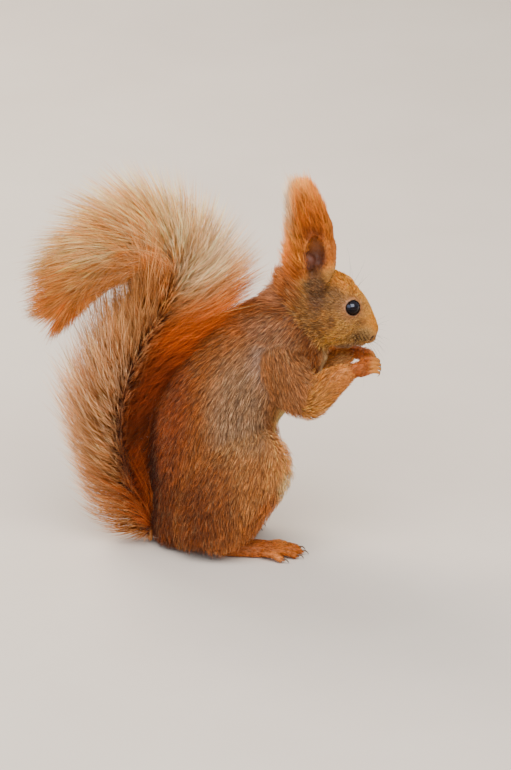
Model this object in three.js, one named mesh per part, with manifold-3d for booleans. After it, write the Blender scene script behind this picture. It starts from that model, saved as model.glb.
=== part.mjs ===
// Eurasian red squirrel, life size, sitting up with its hands at its mouth and its tail arched behind it.
// Millimetres, +Z up, +X the way the animal faces, +Y its left. The origin is on the floor under the rump.
import * as THREE from "three";
import { mergeVertices } from "three/addons/utils/BufferGeometryUtils.js";
import Module from "manifold-3d";

const wasm = await Module();
wasm.setup();

// ---- Driving dimensions -------------------------------------------------------------------------

const gap = 0.3; // clearance left between neighbouring solids
const reach = 400; // size of the blocks used as half-spaces

const finishes = {
  body: { color: 0xa9602c, roughness: 0.9, metalness: 0 },
  limb: { color: 0xb5622a, roughness: 0.9, metalness: 0 },
  tail: { color: 0xc06a2a, roughness: 0.95, metalness: 0 },
  eye: { color: 0x0d0a09, roughness: 0.08, metalness: 0 },
};

// A station is one section of a swept form: where its centre is, its half-width to either side, and how
// far it reaches up (towards the back, or the top) and down (towards the belly, or the sole).
const station = (x, y, z, side, up, down = up) => ({
  at: new THREE.Vector3(x, y, z),
  size: new THREE.Vector3(side, up, down),
});

// The trunk rises from the seat, leans forward over the belly and narrows into the neck.
const trunk = {
  stations: [
    station(10, 0, -34, 19, 32, 20),
    station(9, 0, 6, 29, 41, 27.5),
    station(9, 0, 36, 33, 42.5, 35),
    station(12, 0, 66, 32.5, 45.5, 34),
    station(20, 0, 92, 30, 46, 30),
    station(37, 0, 118, 27, 42, 34),
    station(56, 0, 141, 22, 31, 31),
    station(70, 0, 155, 16, 20, 20),
  ],
  rings: 16,
  around: 19,
};
const nape = {
  stations: [
    station(34, 0, 146, 15, 9, 12),
    station(48, 0, 163, 12.5, 12, 14),
    station(60, 0, 178, 8.5, 13, 14),
  ],
  rings: 5,
  around: 9,
  blunt: 0.3,
};

const head = {
  stations: [
    station(50, 0, 160, 10, 10, 13),
    station(61, 0, 159, 15, 20, 17.5),
    station(72, 0, 155, 17.2, 25, 20.5),
    station(83, 0, 150, 17, 24.2, 21),
    station(92, 0, 146.5, 14.4, 16.6, 16.5),
    station(98.5, 0, 142.2, 10.8, 10.2, 12),
    station(103, 0, 138.4, 7.6, 6.6, 8.8),
    station(107, 0, 135, 4.4, 3.6, 5),
  ],
  rings: 16,
  around: 20,
  blunt: 0.09,
};
const jaw = {
  stations: [
    station(74, 0, 139, 12, 9, 8),
    station(86, 0, 134, 10, 6, 7),
    station(97, 0, 132.5, 5.5, 3.6, 4),
  ],
  rings: 6,
  around: 10,
};

const eye = { at: [91.3, 9.6, 157.3], radius: 5.2, rings: 6, around: 10 };

const ear = {
  stations: [
    station(64, 10, 164, 5, 12, 9),
    station(68, 12.5, 178, 5.6, 17, 11.5),
    station(69.5, 15, 195, 4.6, 16, 12),
    station(67.5, 17, 211, 3.8, 15.5, 10.8),
    station(64.5, 17.5, 223, 2.8, 12, 9.8),
    station(63.5, 17.5, 232.5, 1.4, 4, 3.8),
  ],
  rings: 11,
  around: 10,
  turn: 14, // how far the ear's hollow is turned outwards, in degrees
  lean: 3.4, // how far the right ear's tip leans forward and the left one's leans back
};

const upperArm = {
  stations: [
    station(42, 12, 136, 8, 9),
    station(49, 18, 124, 12.5, 14),
    station(56.5, 22.5, 109, 13, 15),
    station(61, 25, 95, 10, 12),
  ],
  rings: 8,
  around: 12,
};
const forearm = {
  stations: [
    station(55, 24.5, 91, 8, 9, 9),
    station(67, 22.5, 100, 9.2, 12, 11.5),
    station(80, 18, 112, 8.2, 10.5, 10),
    station(94, 13.5, 118.6, 6, 7, 7),
  ],
  rings: 8,
  around: 10,
};
const hand = {
  palm: [
    station(89, 14.5, 117.5, 5, 6.4),
    station(96, 12.4, 118.6, 5.4, 6),
    station(102, 10.6, 119, 4.6, 4.8),
  ],
  fingers: 4,
  fan: 2.7, // spacing of the knuckles
  gather: 0.5, // how much of that spacing is gone at the fingertips
  lean: 0.8, // how far the row of knuckles stands up on edge
  bend: [[-1, 0, 0], [4.4, -1.2, 0.4], [7.6, -2.6, -1.4]], // knuckle, middle joint and tip of one finger
  thick: [2.3, 2.1, 1.6],
  claw: 2.2,
};

const haunch = {
  stations: [
    station(6, 19, -12, 11.5, 19, 14),
    station(13, 23, 16, 16.5, 30, 20),
    station(23, 25.5, 40, 19, 35, 24.5),
    station(34, 25.5, 60, 17, 30, 26),
    station(47, 24, 84, 10.5, 15, 13),
  ],
  rings: 11,
  around: 13,
};

const foot = {
  sole: [
    station(8, 20, 5, 5, 7, 9),
    station(22, 20.5, 4.4, 6.4, 6.4, 8),
    station(37, 20.5, 3.6, 7.4, 5.8, 7),
    station(47, 20.5, 3, 8, 4.6, 6),
  ],
  // Each toe: how far out from the middle of the foot it starts, how far it fans, where and how long it is.
  toes: [
    { out: -6.4, fan: -4, from: 41, long: 13 },
    { out: -3.4, fan: -2, from: 44, long: 17 },
    { out: 0, fan: 0.8, from: 45, long: 18 },
    { out: 3.6, fan: 3.6, from: 44, long: 16 },
    { out: 6.6, fan: 7, from: 39, long: 12 },
  ],
  thick: 2.7,
  claw: 3,
  // The space the leg and trunk leave clear for it.
  room: [
    station(-4, 20, 5, 9, 11.5, 9),
    station(20, 20, 4, 10.5, 9.5, 9),
    station(50, 21, 3, 17.5, 7.5, 8),
    station(74, 22, 3, 17.5, 8, 7),
  ],
};
// How much further back the left foot, leg and hand sit than the right ones.
const tucked = { foot: 26, leg: 8, hand: 2.6 };

// The tail's core, and where its coat ends on the outer side of its bend and on the inner side, all in
// the plane of the body, with the half-thickness of the plume.
const plume = (core, outer, inner, thick) => ({ core, outer, inner, thick });
const tail = {
  y: 3,
  stations: [
    plume([-31, 3], [-22, 6], [-55, 3], 13),
    plume([-37, 17], [-27, 23], [-73, 17], 17),
    plume([-44, 39], [-28, 46], [-79, 43], 20),
    plume([-48, 62], [-28, 71], [-86, 73], 21),
    plume([-48, 85], [-26, 95], [-92, 99], 22),
    plume([-43.5, 105], [-17, 115], [-87, 122], 22),
    plume([-36, 124], [-1, 135], [-70, 138], 22),
    plume([-27, 141], [19, 157], [-56, 150], 22),
    plume([-19, 157], [35, 176], [-45, 158], 22),
    plume([-14.5, 173], [29, 201], [-36, 162], 22),
    plume([-18, 185], [8, 225], [-36, 167], 23),
    plume([-29, 191], [-21, 242], [-42.5, 170], 23),
    plume([-42.5, 190], [-54, 240], [-50.5, 169], 23),
    plume([-56, 181], [-79, 224], [-59, 162], 22),
    plume([-70, 167], [-97, 199], [-70, 149], 20),
    plume([-84, 152], [-107, 170], [-83, 136], 16),
    plume([-95, 138], [-106, 148], [-93, 129], 9),
  ],
  lengths: [
    { name: "tail_root", from: 0, to: 3 },
    { name: "tail_stem", from: 3, to: 7 },
    { name: "tail_arch", from: 7, to: 11.5 },
    { name: "tail_tip", from: 11.5, to: 16 },
  ],
  around: 14,
  ringsPerStation: 2,
};

// Where the body is parted. A cut plane faces the way its slope is turned up from straight ahead.
const cuts = {
  head: { at: [62, 0, 147], slope: 36 },
  neck: { at: [47, 0, 130], slope: 45 },
  wrist: { at: [91, 0, 119], slope: 25 },
  elbow: { at: [60, 0, 101], slope: -20 },
  shank: { at: [31, 0, 34], slope: -36 },
};

// ---- Tools ---------------------------------------------------------------------------------------

function solidOf(geometry) {
  const bare = geometry.clone();
  bare.deleteAttribute("normal");
  bare.deleteAttribute("uv");
  const merged = mergeVertices(bare, 1e-4);
  const corners = merged.index.array;
  const faces = [];
  for (let i = 0; i < corners.length; i += 3) {
    const [a, b, c] = corners.slice(i, i + 3);
    if (a !== b && b !== c && a !== c) faces.push(a, b, c);
  }
  const make = (order) => {
    const vertProperties = new Float32Array(merged.attributes.position.array);
    return new wasm.Manifold(new wasm.Mesh({ numProp: 3, vertProperties, triVerts: new Uint32Array(order) }));
  };
  const made = make(faces);
  return made.volume() > 0 ? made : make(faces.reverse());
}

// A ball's points moved one by one: place(share, turn, pole) gives the new spot of the point that lies
// `share` of the way from pole to pole, `turn` round the axis between them.
function reshapedBall(around, rings, place) {
  const geometry = new THREE.SphereGeometry(1, around, rings);
  const points = geometry.attributes.position;
  const spot = new THREE.Vector3();
  for (let i = 0; i < points.count; i++) {
    spot.fromBufferAttribute(points, i);
    const share = Math.acos(THREE.MathUtils.clamp(spot.y, -1, 1)) / Math.PI;
    const pole = share < 1e-6 ? -1 : share > 1 - 1e-6 ? 1 : 0;
    const to = place(share, Math.atan2(spot.z, spot.x), pole);
    points.setXYZ(i, to.x, to.y, to.z);
  }
  return solidOf(geometry);
}

// A closed body swept through its stations. Its sections stand square to the line of their centres, with
// their width along `across`, and both ends are rounded over the share `blunt` of its length.
function sweep({ stations, rings, around, across = new THREE.Vector3(0, 1, 0), blunt = 0.16 }, grow = 0) {
  const line = new THREE.CatmullRomCurve3(stations.map((s) => s.at));
  const sizes = new THREE.CatmullRomCurve3(stations.map((s) => s.size));
  return reshapedBall(around, rings, (share, turn, pole) => {
    const t = (share + (1 - Math.cos(share * Math.PI)) / 2) / 2;
    const fromEnd = Math.min(t, 1 - t) / blunt;
    const round = fromEnd < 1 ? Math.sqrt(1 - (1 - fromEnd) ** 2) : 1;
    const spot = line.getPoint(t);
    const ahead = line.getTangent(t);
    if (pole) return spot.addScaledVector(ahead, pole * grow);
    const back = new THREE.Vector3().crossVectors(ahead, across).normalize();
    const side = new THREE.Vector3().crossVectors(back, ahead).normalize();
    const size = sizes.getPoint(t);
    const lift = Math.sin(turn) > 0 ? size.y : size.z;
    spot.addScaledVector(side, Math.cos(turn) * (size.x * round + grow));
    return spot.addScaledVector(back, Math.sin(turn) * (lift * round + grow));
  });
}

// One length of the tail, with a lens-shaped section that runs from its inner edge to its outer edge.
function tailLength({ from, to }) {
  const { stations, around, ringsPerStation, y } = tail;
  const through = (points) => new THREE.CatmullRomCurve3(points);
  const curve = (key) => through(stations.map((s) => new THREE.Vector3(s[key][0], y, s[key][1])));
  const [core, outer, inner] = ["core", "outer", "inner"].map(curve);
  const thick = through(stations.map((s, i) => new THREE.Vector3(i, s.thick, 0)));
  const last = stations.length - 1;
  const apart = (i) => core.getPoint(i / last).distanceTo(core.getPoint((i + 1) / last));
  const halfGap = (i) => (i > 0 && i < last ? gap / 2 / apart(i) : 0);
  const first = from + halfGap(from);
  const end = to - halfGap(to);
  const rings = Math.round((to - from) * ringsPerStation) + 2;
  return reshapedBall(around, rings, (share, turn, pole) => {
    const t = THREE.MathUtils.clamp((share * rings - 1) / (rings - 2), 0, 1);
    const at = (first + (end - first) * t) / last;
    const spot = core.getPoint(at);
    if (pole) return spot;
    const edge = (Math.cos(turn) > 0 ? outer : inner).getPoint(at).sub(spot);
    spot.y += Math.sin(turn) * thick.getPoint(at).y;
    return spot.addScaledVector(edge, Math.abs(Math.cos(turn)));
  });
}

// The same form on the animal's right side; forms are drawn for its left.
const onRight = (form) => ({
  ...form,
  stations: form.stations.map((s) => ({ at: new THREE.Vector3(s.at.x, -s.at.y, s.at.z), size: s.size })),
});
const onLeft = (form) => form;

// The same stations, further back.
const setBack = (stations, by) =>
  stations.map((s) => ({ at: new THREE.Vector3(s.at.x - by, s.at.y, s.at.z), size: s.size }));

// Everything beyond a cut plane, `shift` further along the way that it faces.
function beyond({ at, slope }, shift = 0) {
  const block = new THREE.BoxGeometry(reach, reach, reach);
  block.translate(reach / 2 + shift, 0, 0);
  block.rotateY(-THREE.MathUtils.degToRad(slope));
  block.translate(...at);
  return solidOf(block);
}

const up = new THREE.Vector3(0, 0, 1);
const aboveFloor = solidOf(new THREE.BoxGeometry(2 * reach, 2 * reach, reach).translate(0, 0, reach / 2));
const largest = (solid) => solid.decompose().sort((a, b) => b.volume() - a.volume())[0];

const group = new THREE.Group();

function add(name, solid, finish) {
  const { vertProperties, triVerts } = solid.getMesh();
  const geometry = new THREE.BufferGeometry();
  geometry.setAttribute("position", new THREE.BufferAttribute(vertProperties, 3));
  geometry.setIndex(new THREE.BufferAttribute(triVerts, 1));
  geometry.computeVertexNormals();
  const made = new THREE.Mesh(geometry, new THREE.MeshStandardMaterial(finishes[finish]));
  made.name = name;
  group.add(made);
}

// ---- Forms ---------------------------------------------------------------------------------------

function handForms() {
  const forms = [{ stations: hand.palm, rings: 5, around: 8, blunt: 0.2 }];
  const knuckles = hand.palm.at(-1).at;
  for (let i = 0; i < hand.fingers; i++) {
    const offset = (i - (hand.fingers - 1) / 2) * hand.fan;
    const joints = hand.bend.map(([x, y, z], j) =>
      station(
        knuckles.x + x - Math.abs(offset) * hand.gather * (j / 2),
        knuckles.y + y + offset * (1 - hand.lean * 0.6),
        knuckles.z + z - offset * hand.lean * (1 - hand.gather * (j / 2)),
        hand.thick[j],
        hand.thick[j],
      ),
    );
    forms.push({ stations: joints, rings: 5, around: 5, blunt: 0.2 });
    const tip = joints.at(-1).at;
    const claw = [
      station(tip.x - 1, tip.y, tip.z, 0.8, 0.8),
      station(tip.x + hand.claw, tip.y - 0.6, tip.z - hand.claw * 0.7, 0.4, 0.4),
    ];
    forms.push({ stations: claw, rings: 3, around: 4, blunt: 0.2 });
  }
  return forms;
}

function footForms(back) {
  const forms = [{ stations: setBack(foot.sole, back), rings: 7, around: 10, blunt: 0.2 }];
  const middle = foot.sole.at(-1).at.y;
  for (const { out, fan, from, long } of foot.toes) {
    const thick = foot.thick;
    const y = middle + out;
    const tip = from + long;
    const toe = [
      station(from - 5, y - fan * 0.2, 3.4, thick, thick),
      station(from + long * 0.4, y + fan * 0.45, 4.2, thick, thick),
      station(from + long * 0.78, y + fan * 0.85, 2.7, thick * 0.95, thick),
      station(tip, y + fan, 1.6, thick * 0.7, thick * 0.8),
    ];
    const claw = [
      station(tip - 1.5, y + fan, 2.2, 1, 1.2),
      station(tip + foot.claw * 0.5, y + fan * 1.1, 2, 0.8, 1),
      station(tip + foot.claw, y + fan * 1.2, 0.7, 0.4, 0.5),
    ];
    forms.push({ stations: setBack(toe, back), rings: 5, around: 6, blunt: 0.18 });
    forms.push({ stations: setBack(claw, back), rings: 4, around: 4, blunt: 0.2 });
  }
  return forms;
}

const join = (forms, grow = 0) => forms.map((f) => sweep(f, grow)).reduce((a, b) => a.add(b));

// ---- The animal ----------------------------------------------------------------------------------

let body = join([trunk, nape, head, jaw]).intersect(aboveFloor);

for (const name of ["right", "left"]) {
  const form = name === "right" ? onRight : onLeft;
  const sign = name === "right" ? -1 : 1;

  const across = new THREE.Vector3(0, 1, 0).applyAxisAngle(up, sign * THREE.MathUtils.degToRad(ear.turn));
  const base = ear.stations[0].at.z;
  const rise = ear.stations.at(-1).at.z - base;
  const leaning = ear.stations.map(({ at, size }) => {
    const lean = -sign * ear.lean * ((at.z - base) / rise) ** 2;
    return { at: new THREE.Vector3(at.x + lean, at.y, at.z), size };
  });
  const thisEar = form({ ...ear, stations: leaning, across });
  body = body.subtract(sweep(thisEar, gap));
  add(`ear_${name}`, sweep(thisEar), "limb");

  const [x, y, z] = eye.at;
  const ball = (radius) => new THREE.SphereGeometry(radius, eye.around, eye.rings).translate(x, sign * y, z);
  body = body.subtract(solidOf(ball(eye.radius + gap)));
  add(`eye_${name}`, solidOf(ball(eye.radius)), "eye");

  const back = name === "right" ? { foot: 0, leg: 0, hand: 0 } : tucked;
  const feet = footForms(back.foot).map(form);
  const footRoom = sweep(form({ stations: setBack(foot.room, back.foot), rings: 7, around: 9 }), gap);
  add(`foot_${name}`, join(feet).intersect(aboveFloor), "limb");

  const thisHaunch = form({ ...haunch, stations: setBack(haunch.stations, back.leg) });
  const leg = sweep(thisHaunch).intersect(aboveFloor).subtract(footRoom);
  body = body.subtract(sweep(thisHaunch, gap)).subtract(footRoom);
  add(`thigh_${name}`, largest(leg.subtract(beyond(cuts.shank, -gap / 2))), "body");
  add(`shank_${name}`, largest(leg.intersect(beyond(cuts.shank, gap / 2))), "body");

  const arm = join([form(upperArm), form(forearm)]);
  const fingers = join(handForms().map((f) => form({ ...f, stations: setBack(f.stations, back.hand) })));
  body = body.subtract(join([form(upperArm), form(forearm)], gap));
  const pastElbow = beyond(cuts.elbow, gap / 2);
  add(`upper_arm_${name}`, largest(arm.subtract(beyond(cuts.elbow, -gap / 2))), "limb");
  add(`forearm_${name}`, largest(arm.intersect(pastElbow).subtract(beyond(cuts.wrist, -gap / 2))), "limb");
  add(`hand_${name}`, largest(arm.add(fingers).intersect(beyond(cuts.wrist, gap / 2))), "limb");
}

add("head", largest(body.intersect(beyond(cuts.head, gap / 2))), "body");
const behindHead = body.subtract(beyond(cuts.head, -gap / 2));
add("neck", largest(behindHead.intersect(beyond(cuts.neck, gap / 2))), "body");
add("trunk", largest(body.subtract(beyond(cuts.neck, -gap / 2))), "body");

const besideTail = join([trunk, nape, haunch, onRight(haunch)], gap);
for (const length of tail.lengths) {
  add(length.name, largest(tailLength(length).intersect(aboveFloor).subtract(besideTail)), "tail");
}

export default group;
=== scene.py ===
import bpy
import math
import numpy as np
import openvdb
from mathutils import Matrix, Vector
from mathutils.kdtree import KDTree


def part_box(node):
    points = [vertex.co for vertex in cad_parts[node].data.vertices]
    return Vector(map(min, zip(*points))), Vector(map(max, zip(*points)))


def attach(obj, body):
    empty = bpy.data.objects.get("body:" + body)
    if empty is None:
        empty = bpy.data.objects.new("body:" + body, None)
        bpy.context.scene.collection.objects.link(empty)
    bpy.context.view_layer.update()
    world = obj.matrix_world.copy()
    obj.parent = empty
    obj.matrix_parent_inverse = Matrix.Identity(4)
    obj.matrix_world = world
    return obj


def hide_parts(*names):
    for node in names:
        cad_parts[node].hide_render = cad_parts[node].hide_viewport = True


# A red squirrel sitting up. Lengths in the dictionaries are millimetres in the frame's own axes, and
# colours are sRGB.
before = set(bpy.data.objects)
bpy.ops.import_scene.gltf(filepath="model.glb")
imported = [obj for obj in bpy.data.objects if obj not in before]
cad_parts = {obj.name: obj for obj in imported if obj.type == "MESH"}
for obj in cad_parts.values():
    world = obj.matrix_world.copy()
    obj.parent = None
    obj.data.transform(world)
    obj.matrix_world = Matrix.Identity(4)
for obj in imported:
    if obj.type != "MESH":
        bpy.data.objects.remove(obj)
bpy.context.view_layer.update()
mm = 0.001
rng = np.random.default_rng(12)
scene = bpy.context.scene
print("frame loaded")


# camera, light and floor
viewpoint = {
    "aim": (33.6, 0, 103),
    "elevation": 22,
    "distance": 3800,
    "frameHeight": 466.7,             # what the picture shows from bottom to top at the aim
    "sensor": 36,
    "farthest": 20000,
}
studio = {
    "floorTones": ((206, 197, 188), (218, 210, 202)),
    "floorEdges": ((-3000, -3000), (3000, 6000)), "floorLevel": -0.2,
    "worldColour": (235, 238, 245), "worldStrength": 0.4,
    "lit": (20, 0, 100),              # where the lamps point
    "lights": [
        {"name": "key", "at": (260, -1050, 1700), "size": 1900, "watts": 70, "colour": (255, 248, 238)},
        {"name": "fill", "at": (-1100, -900, 900), "size": 1200, "watts": 9, "colour": (240, 245, 255)},
        {"name": "rim", "at": (-700, 900, 1100), "size": 900, "watts": 32, "colour": (255, 240, 220)},
    ],
}


def linearOf(shares):
    c = np.clip(shares, 0, 1)
    return np.where(c <= 0.04045, c / 12.92, ((c + 0.055) / 1.055) ** 2.4)


def srgb(colour):
    return np.array(colour, dtype=float) / 255


def linear(colour):
    return linearOf(srgb(colour))


def rgba(colour):
    return (*linear(colour), 1.0)


def lookAt(obj, target):
    obj.rotation_euler = (Vector(target) - obj.location).to_track_quat("-Z", "Y").to_euler()


def placeCamera():
    s = viewpoint
    e = math.radians(s["elevation"])
    aim = np.array(s["aim"]) * mm
    data = bpy.data.cameras.new("camera")
    data.sensor_fit = "VERTICAL"
    data.sensor_height = s["sensor"]
    data.lens = s["sensor"] * s["distance"] / s["frameHeight"]
    data.clip_end = s["farthest"] * mm
    cam = bpy.data.objects.new("camera", data)
    cam.location = aim + np.array([0, -math.cos(e), math.sin(e)]) * s["distance"] * mm
    scene.collection.objects.link(cam)
    lookAt(cam, aim)
    scene.camera = cam


def placeLights():
    world = bpy.data.worlds.new("softSky")
    world.use_nodes = True
    back = world.node_tree.nodes["Background"]
    back.inputs["Color"].default_value = rgba(studio["worldColour"])
    back.inputs["Strength"].default_value = studio["worldStrength"]
    scene.world = world
    for s in studio["lights"]:
        data = bpy.data.lights.new(s["name"], "AREA")
        data.size = s["size"] * mm
        data.energy = s["watts"]
        data.color = linear(s["colour"])
        lamp = bpy.data.objects.new(s["name"], data)
        lamp.location = np.array(s["at"]) * mm
        scene.collection.objects.link(lamp)
        lookAt(lamp, np.array(studio["lit"]) * mm)


class Tree:
    # A short hand for building a material's nodes.
    def __init__(self, name):
        self.material = bpy.data.materials.new(name)
        self.material.use_nodes = True
        self.nodes = self.material.node_tree.nodes
        self.links = self.material.node_tree.links
        self.shader = self.nodes["Principled BSDF"]

    def add(self, kind, settings=(), **inputs):
        node = self.nodes.new(kind)
        for key, value in dict(settings).items():
            setattr(node, key, value)
        for key, value in inputs.items():
            self.feed(node, key.replace("_", " "), value)
        return node

    def feed(self, node, key, value):
        socket = node.inputs[int(key)] if key.isdigit() else node.inputs[key]
        if isinstance(value, bpy.types.NodeSocket):
            self.links.new(value, socket)
        else:
            socket.default_value = value

    def math(self, how, a, b=0.0):
        node = self.nodes.new("ShaderNodeMath")
        node.operation = how
        self.feed(node, "0", a)
        self.feed(node, "1", b)
        return node.outputs[0]

    def mix(self, share, a, b, how="MIX"):
        node = self.nodes.new("ShaderNodeMix")
        node.data_type = "RGBA"
        node.blend_type = how
        self.feed(node, "0", share)
        self.feed(node, "6", a)
        self.feed(node, "7", b)
        return node.outputs[2]

    def place(self):
        return self.add("ShaderNodeTexCoord").outputs["Object"]

    def noise(self, scale, detail=3.0, rough=0.55, where=None):
        node = self.add("ShaderNodeTexNoise", Scale=scale, Detail=detail, Roughness=rough)
        self.links.new(where or self.place(), node.inputs["Vector"])
        return node.outputs["Fac"]

    def span(self, value, a, b, low=0.0, high=1.0):
        node = self.nodes.new("ShaderNodeMapRange")
        self.feed(node, "0", value)
        for i, v in enumerate((a, b, low, high)):
            node.inputs[i + 1].default_value = v
        return node.outputs[0]

    def bump(self, height, strength, distance):
        return self.add("ShaderNodeBump", Strength=strength, Distance=distance,
                        Height=height).outputs["Normal"]

    def finish(self, **sockets):
        for key, value in sockets.items():
            self.feed(self.shader, key.replace("_", " "), value)
        return self.material


def meshFrom(name, points, faces, material, smooth=True):
    # points in millimetres, faces an array of triangles or of quads
    faces = np.asarray(faces, dtype=np.int32)
    mesh = bpy.data.meshes.new(name)
    mesh.vertices.add(len(points))
    mesh.vertices.foreach_set("co", (np.asarray(points) * mm).astype(np.float32).ravel())
    mesh.loops.add(faces.size)
    mesh.loops.foreach_set("vertex_index", faces.ravel())
    mesh.polygons.add(len(faces))
    mesh.polygons.foreach_set("loop_start", np.arange(0, faces.size, faces.shape[1], dtype=np.int32))
    mesh.polygons.foreach_set("use_smooth", np.full(len(faces), smooth))
    mesh.update(calc_edges=True)
    mesh.materials.append(material)
    obj = bpy.data.objects.new(name, mesh)
    scene.collection.objects.link(obj)
    return obj


def readArray(items, key, kind, width=1):
    # one property of all of a mesh's items, as rows of `width` numbers
    out = np.empty(len(items) * width, dtype=kind)
    items.foreach_get(key, out)
    return out.reshape(-1, width) if width > 1 else out


def paint(obj, colours):
    layer = obj.data.color_attributes.new("fur", "FLOAT_COLOR", "POINT")
    full = np.ones((len(colours), 4), dtype=np.float32)
    full[:, :3] = colours
    layer.data.foreach_set("color", full.ravel())


def layFloor():
    t = Tree("floorPaper")
    tone = t.mix(t.noise(9.0, 4.0), *(rgba(c) for c in studio["floorTones"]))
    (x0, y0), (x1, y1) = studio["floorEdges"]
    corners = [(x, y, studio["floorLevel"]) for x, y in ((x0, y0), (x1, y0), (x1, y1), (x0, y1))]
    material = t.finish(Base_Color=tone, Roughness=0.85)
    meshFrom("floor", corners, [(0, 1, 2, 3)], material, smooth=False)


placeCamera()
placeLights()
layFloor()
print("stage set")


# the solids read as one field
def smoothstep(a, b, x):
    t = np.clip((x - a) / (b - a), 0, 1)
    return t * t * (3 - 2 * t)


def hill(a, b, c, d, x):
    # up between a and b, down again between c and d
    return smoothstep(a, b, x) * (1 - smoothstep(c, d, x))


def mix(a, b, share):
    return a + (b - a) * share


def unit(v):
    return v / np.maximum(np.linalg.norm(v, axis=-1, keepdims=True), 1e-9)


def nodeMesh(name):
    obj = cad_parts[name]
    mesh = obj.data
    world = np.array(obj.matrix_world)
    points = readArray(mesh.vertices, "co", np.float32, 3) @ world[:3, :3].T + world[:3, 3]
    mesh.calc_loop_triangles()
    keys, back = np.unique(np.round(points / mm * 1000).astype(np.int64), axis=0, return_inverse=True)
    tris = back.reshape(-1)[readArray(mesh.loop_triangles, "vertices", np.int32, 3)]
    whole = (tris[:, 0] != tris[:, 1]) & (tris[:, 1] != tris[:, 2]) & (tris[:, 2] != tris[:, 0])
    return (keys / 1000).astype(np.float32), tris[whole].astype(np.int32)


class Grid:
    # A box of numbers, one at every `step` millimetres, holding the distance to a surface (negative inside).
    def __init__(self, low, high, step):
        self.step = step
        self.first = np.floor(np.array(low) / step).astype(int)
        self.shape = tuple(np.ceil(np.array(high) / step).astype(int) - self.first + 1)

    def distance(self, points, tris, reach):
        # reach is how far from the surface, in steps, the numbers still grow
        form = openvdb.createLinearTransform(voxelSize=self.step)
        level = openvdb.FloatGrid.createLevelSetFromPolygons(
            points, triangles=tris, transform=form, halfWidth=reach)
        out = np.full(self.shape, reach * self.step, dtype=np.float32)
        level.copyToArray(out, ijk=tuple(int(v) for v in self.first))
        return out

    def surface(self, values, level=0.0, adaptivity=0.0):
        made = openvdb.FloatGrid(float(values.max()))
        made.copyFromArray(np.ascontiguousarray(values), ijk=tuple(int(v) for v in self.first))
        made.transform = openvdb.createLinearTransform(voxelSize=self.step)
        points, tris, quads = made.convertToPolygons(isovalue=level, adaptivity=adaptivity)
        parts = [np.asarray(tris, dtype=np.int32).reshape(-1, 3)]
        quads = np.asarray(quads, dtype=np.int32).reshape(-1, 4)
        parts += [quads[:, [0, 1, 2]], quads[:, [0, 2, 3]]]
        return np.asarray(points, dtype=np.float32), np.concatenate(parts)

    def mesh(self, window=(slice(None),) * 3):
        x, y, z = (((self.first[i] + np.arange(self.shape[i])) * self.step).astype(np.float32)[window[i]]
                   for i in range(3))
        return x[:, None, None], y[None, :, None], z[None, None, :]

    def window(self, low, high, margin=0):
        low, high = np.array(low) - margin, np.array(high) + margin
        a = np.maximum(np.floor(np.array(low) / self.step).astype(int) - self.first, 0)
        b = np.minimum(np.ceil(np.array(high) / self.step).astype(int) - self.first + 1, self.shape)
        return tuple(slice(int(i), int(j)) for i, j in zip(a, b))

    def read(self, values, at):
        # values between the grid's points, for rows of places in millimetres
        p = np.asarray(at) / self.step - self.first
        p = np.clip(p, 0, np.array(self.shape) - 1.001)
        i = p.astype(int)
        f = (p - i).astype(np.float32)
        shares = (1 - f, f)
        total = 0.0
        for dx in (0, 1):
            for dy in (0, 1):
                for dz in (0, 1):
                    w = shares[dx][:, 0] * shares[dy][:, 1] * shares[dz][:, 2]
                    total = total + w * values[i[:, 0] + dx, i[:, 1] + dy, i[:, 2] + dz]
        return total

    def slope(self, values, at):
        out = np.empty((len(at), 3))
        for axis in range(3):
            shift = np.zeros(3)
            shift[axis] = self.step
            out[:, axis] = self.read(values, at + shift) - self.read(values, at - shift)
        return unit(out)


def soften(values, passes):
    # the mean with both neighbours along every axis, a few times over
    for _ in range(passes):
        for axis in range(3):
            a = np.moveaxis(values, axis, 0)
            b = a.copy()
            b[1:-1] = a[1:-1] * 0.5 + (a[:-2] + a[2:]) * 0.25
            values = np.moveaxis(b, 0, axis)
    return np.ascontiguousarray(values)


def finer(values):
    # the same field at half the step
    for axis in range(3):
        a = np.moveaxis(values, axis, 0)
        b = np.empty((2 * a.shape[0] - 1, *a.shape[1:]), dtype=np.float32)
        b[0::2] = a
        b[1::2] = (a[:-1] + a[1:]) / 2
        values = np.moveaxis(b, 0, axis)
    return np.ascontiguousarray(values)


def blend(a, b, width):
    # the smaller of two fields, with a fillet of about that width where they meet
    h = np.clip(0.5 + 0.5 * (b - a) / width, 0, 1)
    return b * (1 - h) + a * h - width * h * (1 - h)


nodeNames = sorted(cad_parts)
sides = {"right": -1, "left": 1}
tailNames = [n for n in nodeNames if n.startswith("tail")]
eyeNames = [n for n in nodeNames if n.startswith("eye")]
earNames = [n for n in nodeNames if n.startswith("ear")]
bodyNames = [n for n in nodeNames if n not in tailNames + eyeNames + earNames]
fleshNames = [n for n in nodeNames if n not in eyeNames]
boxes = {n: [np.array(c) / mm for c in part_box(n)] for n in nodeNames}
print("nodes", nodeNames)

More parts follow.
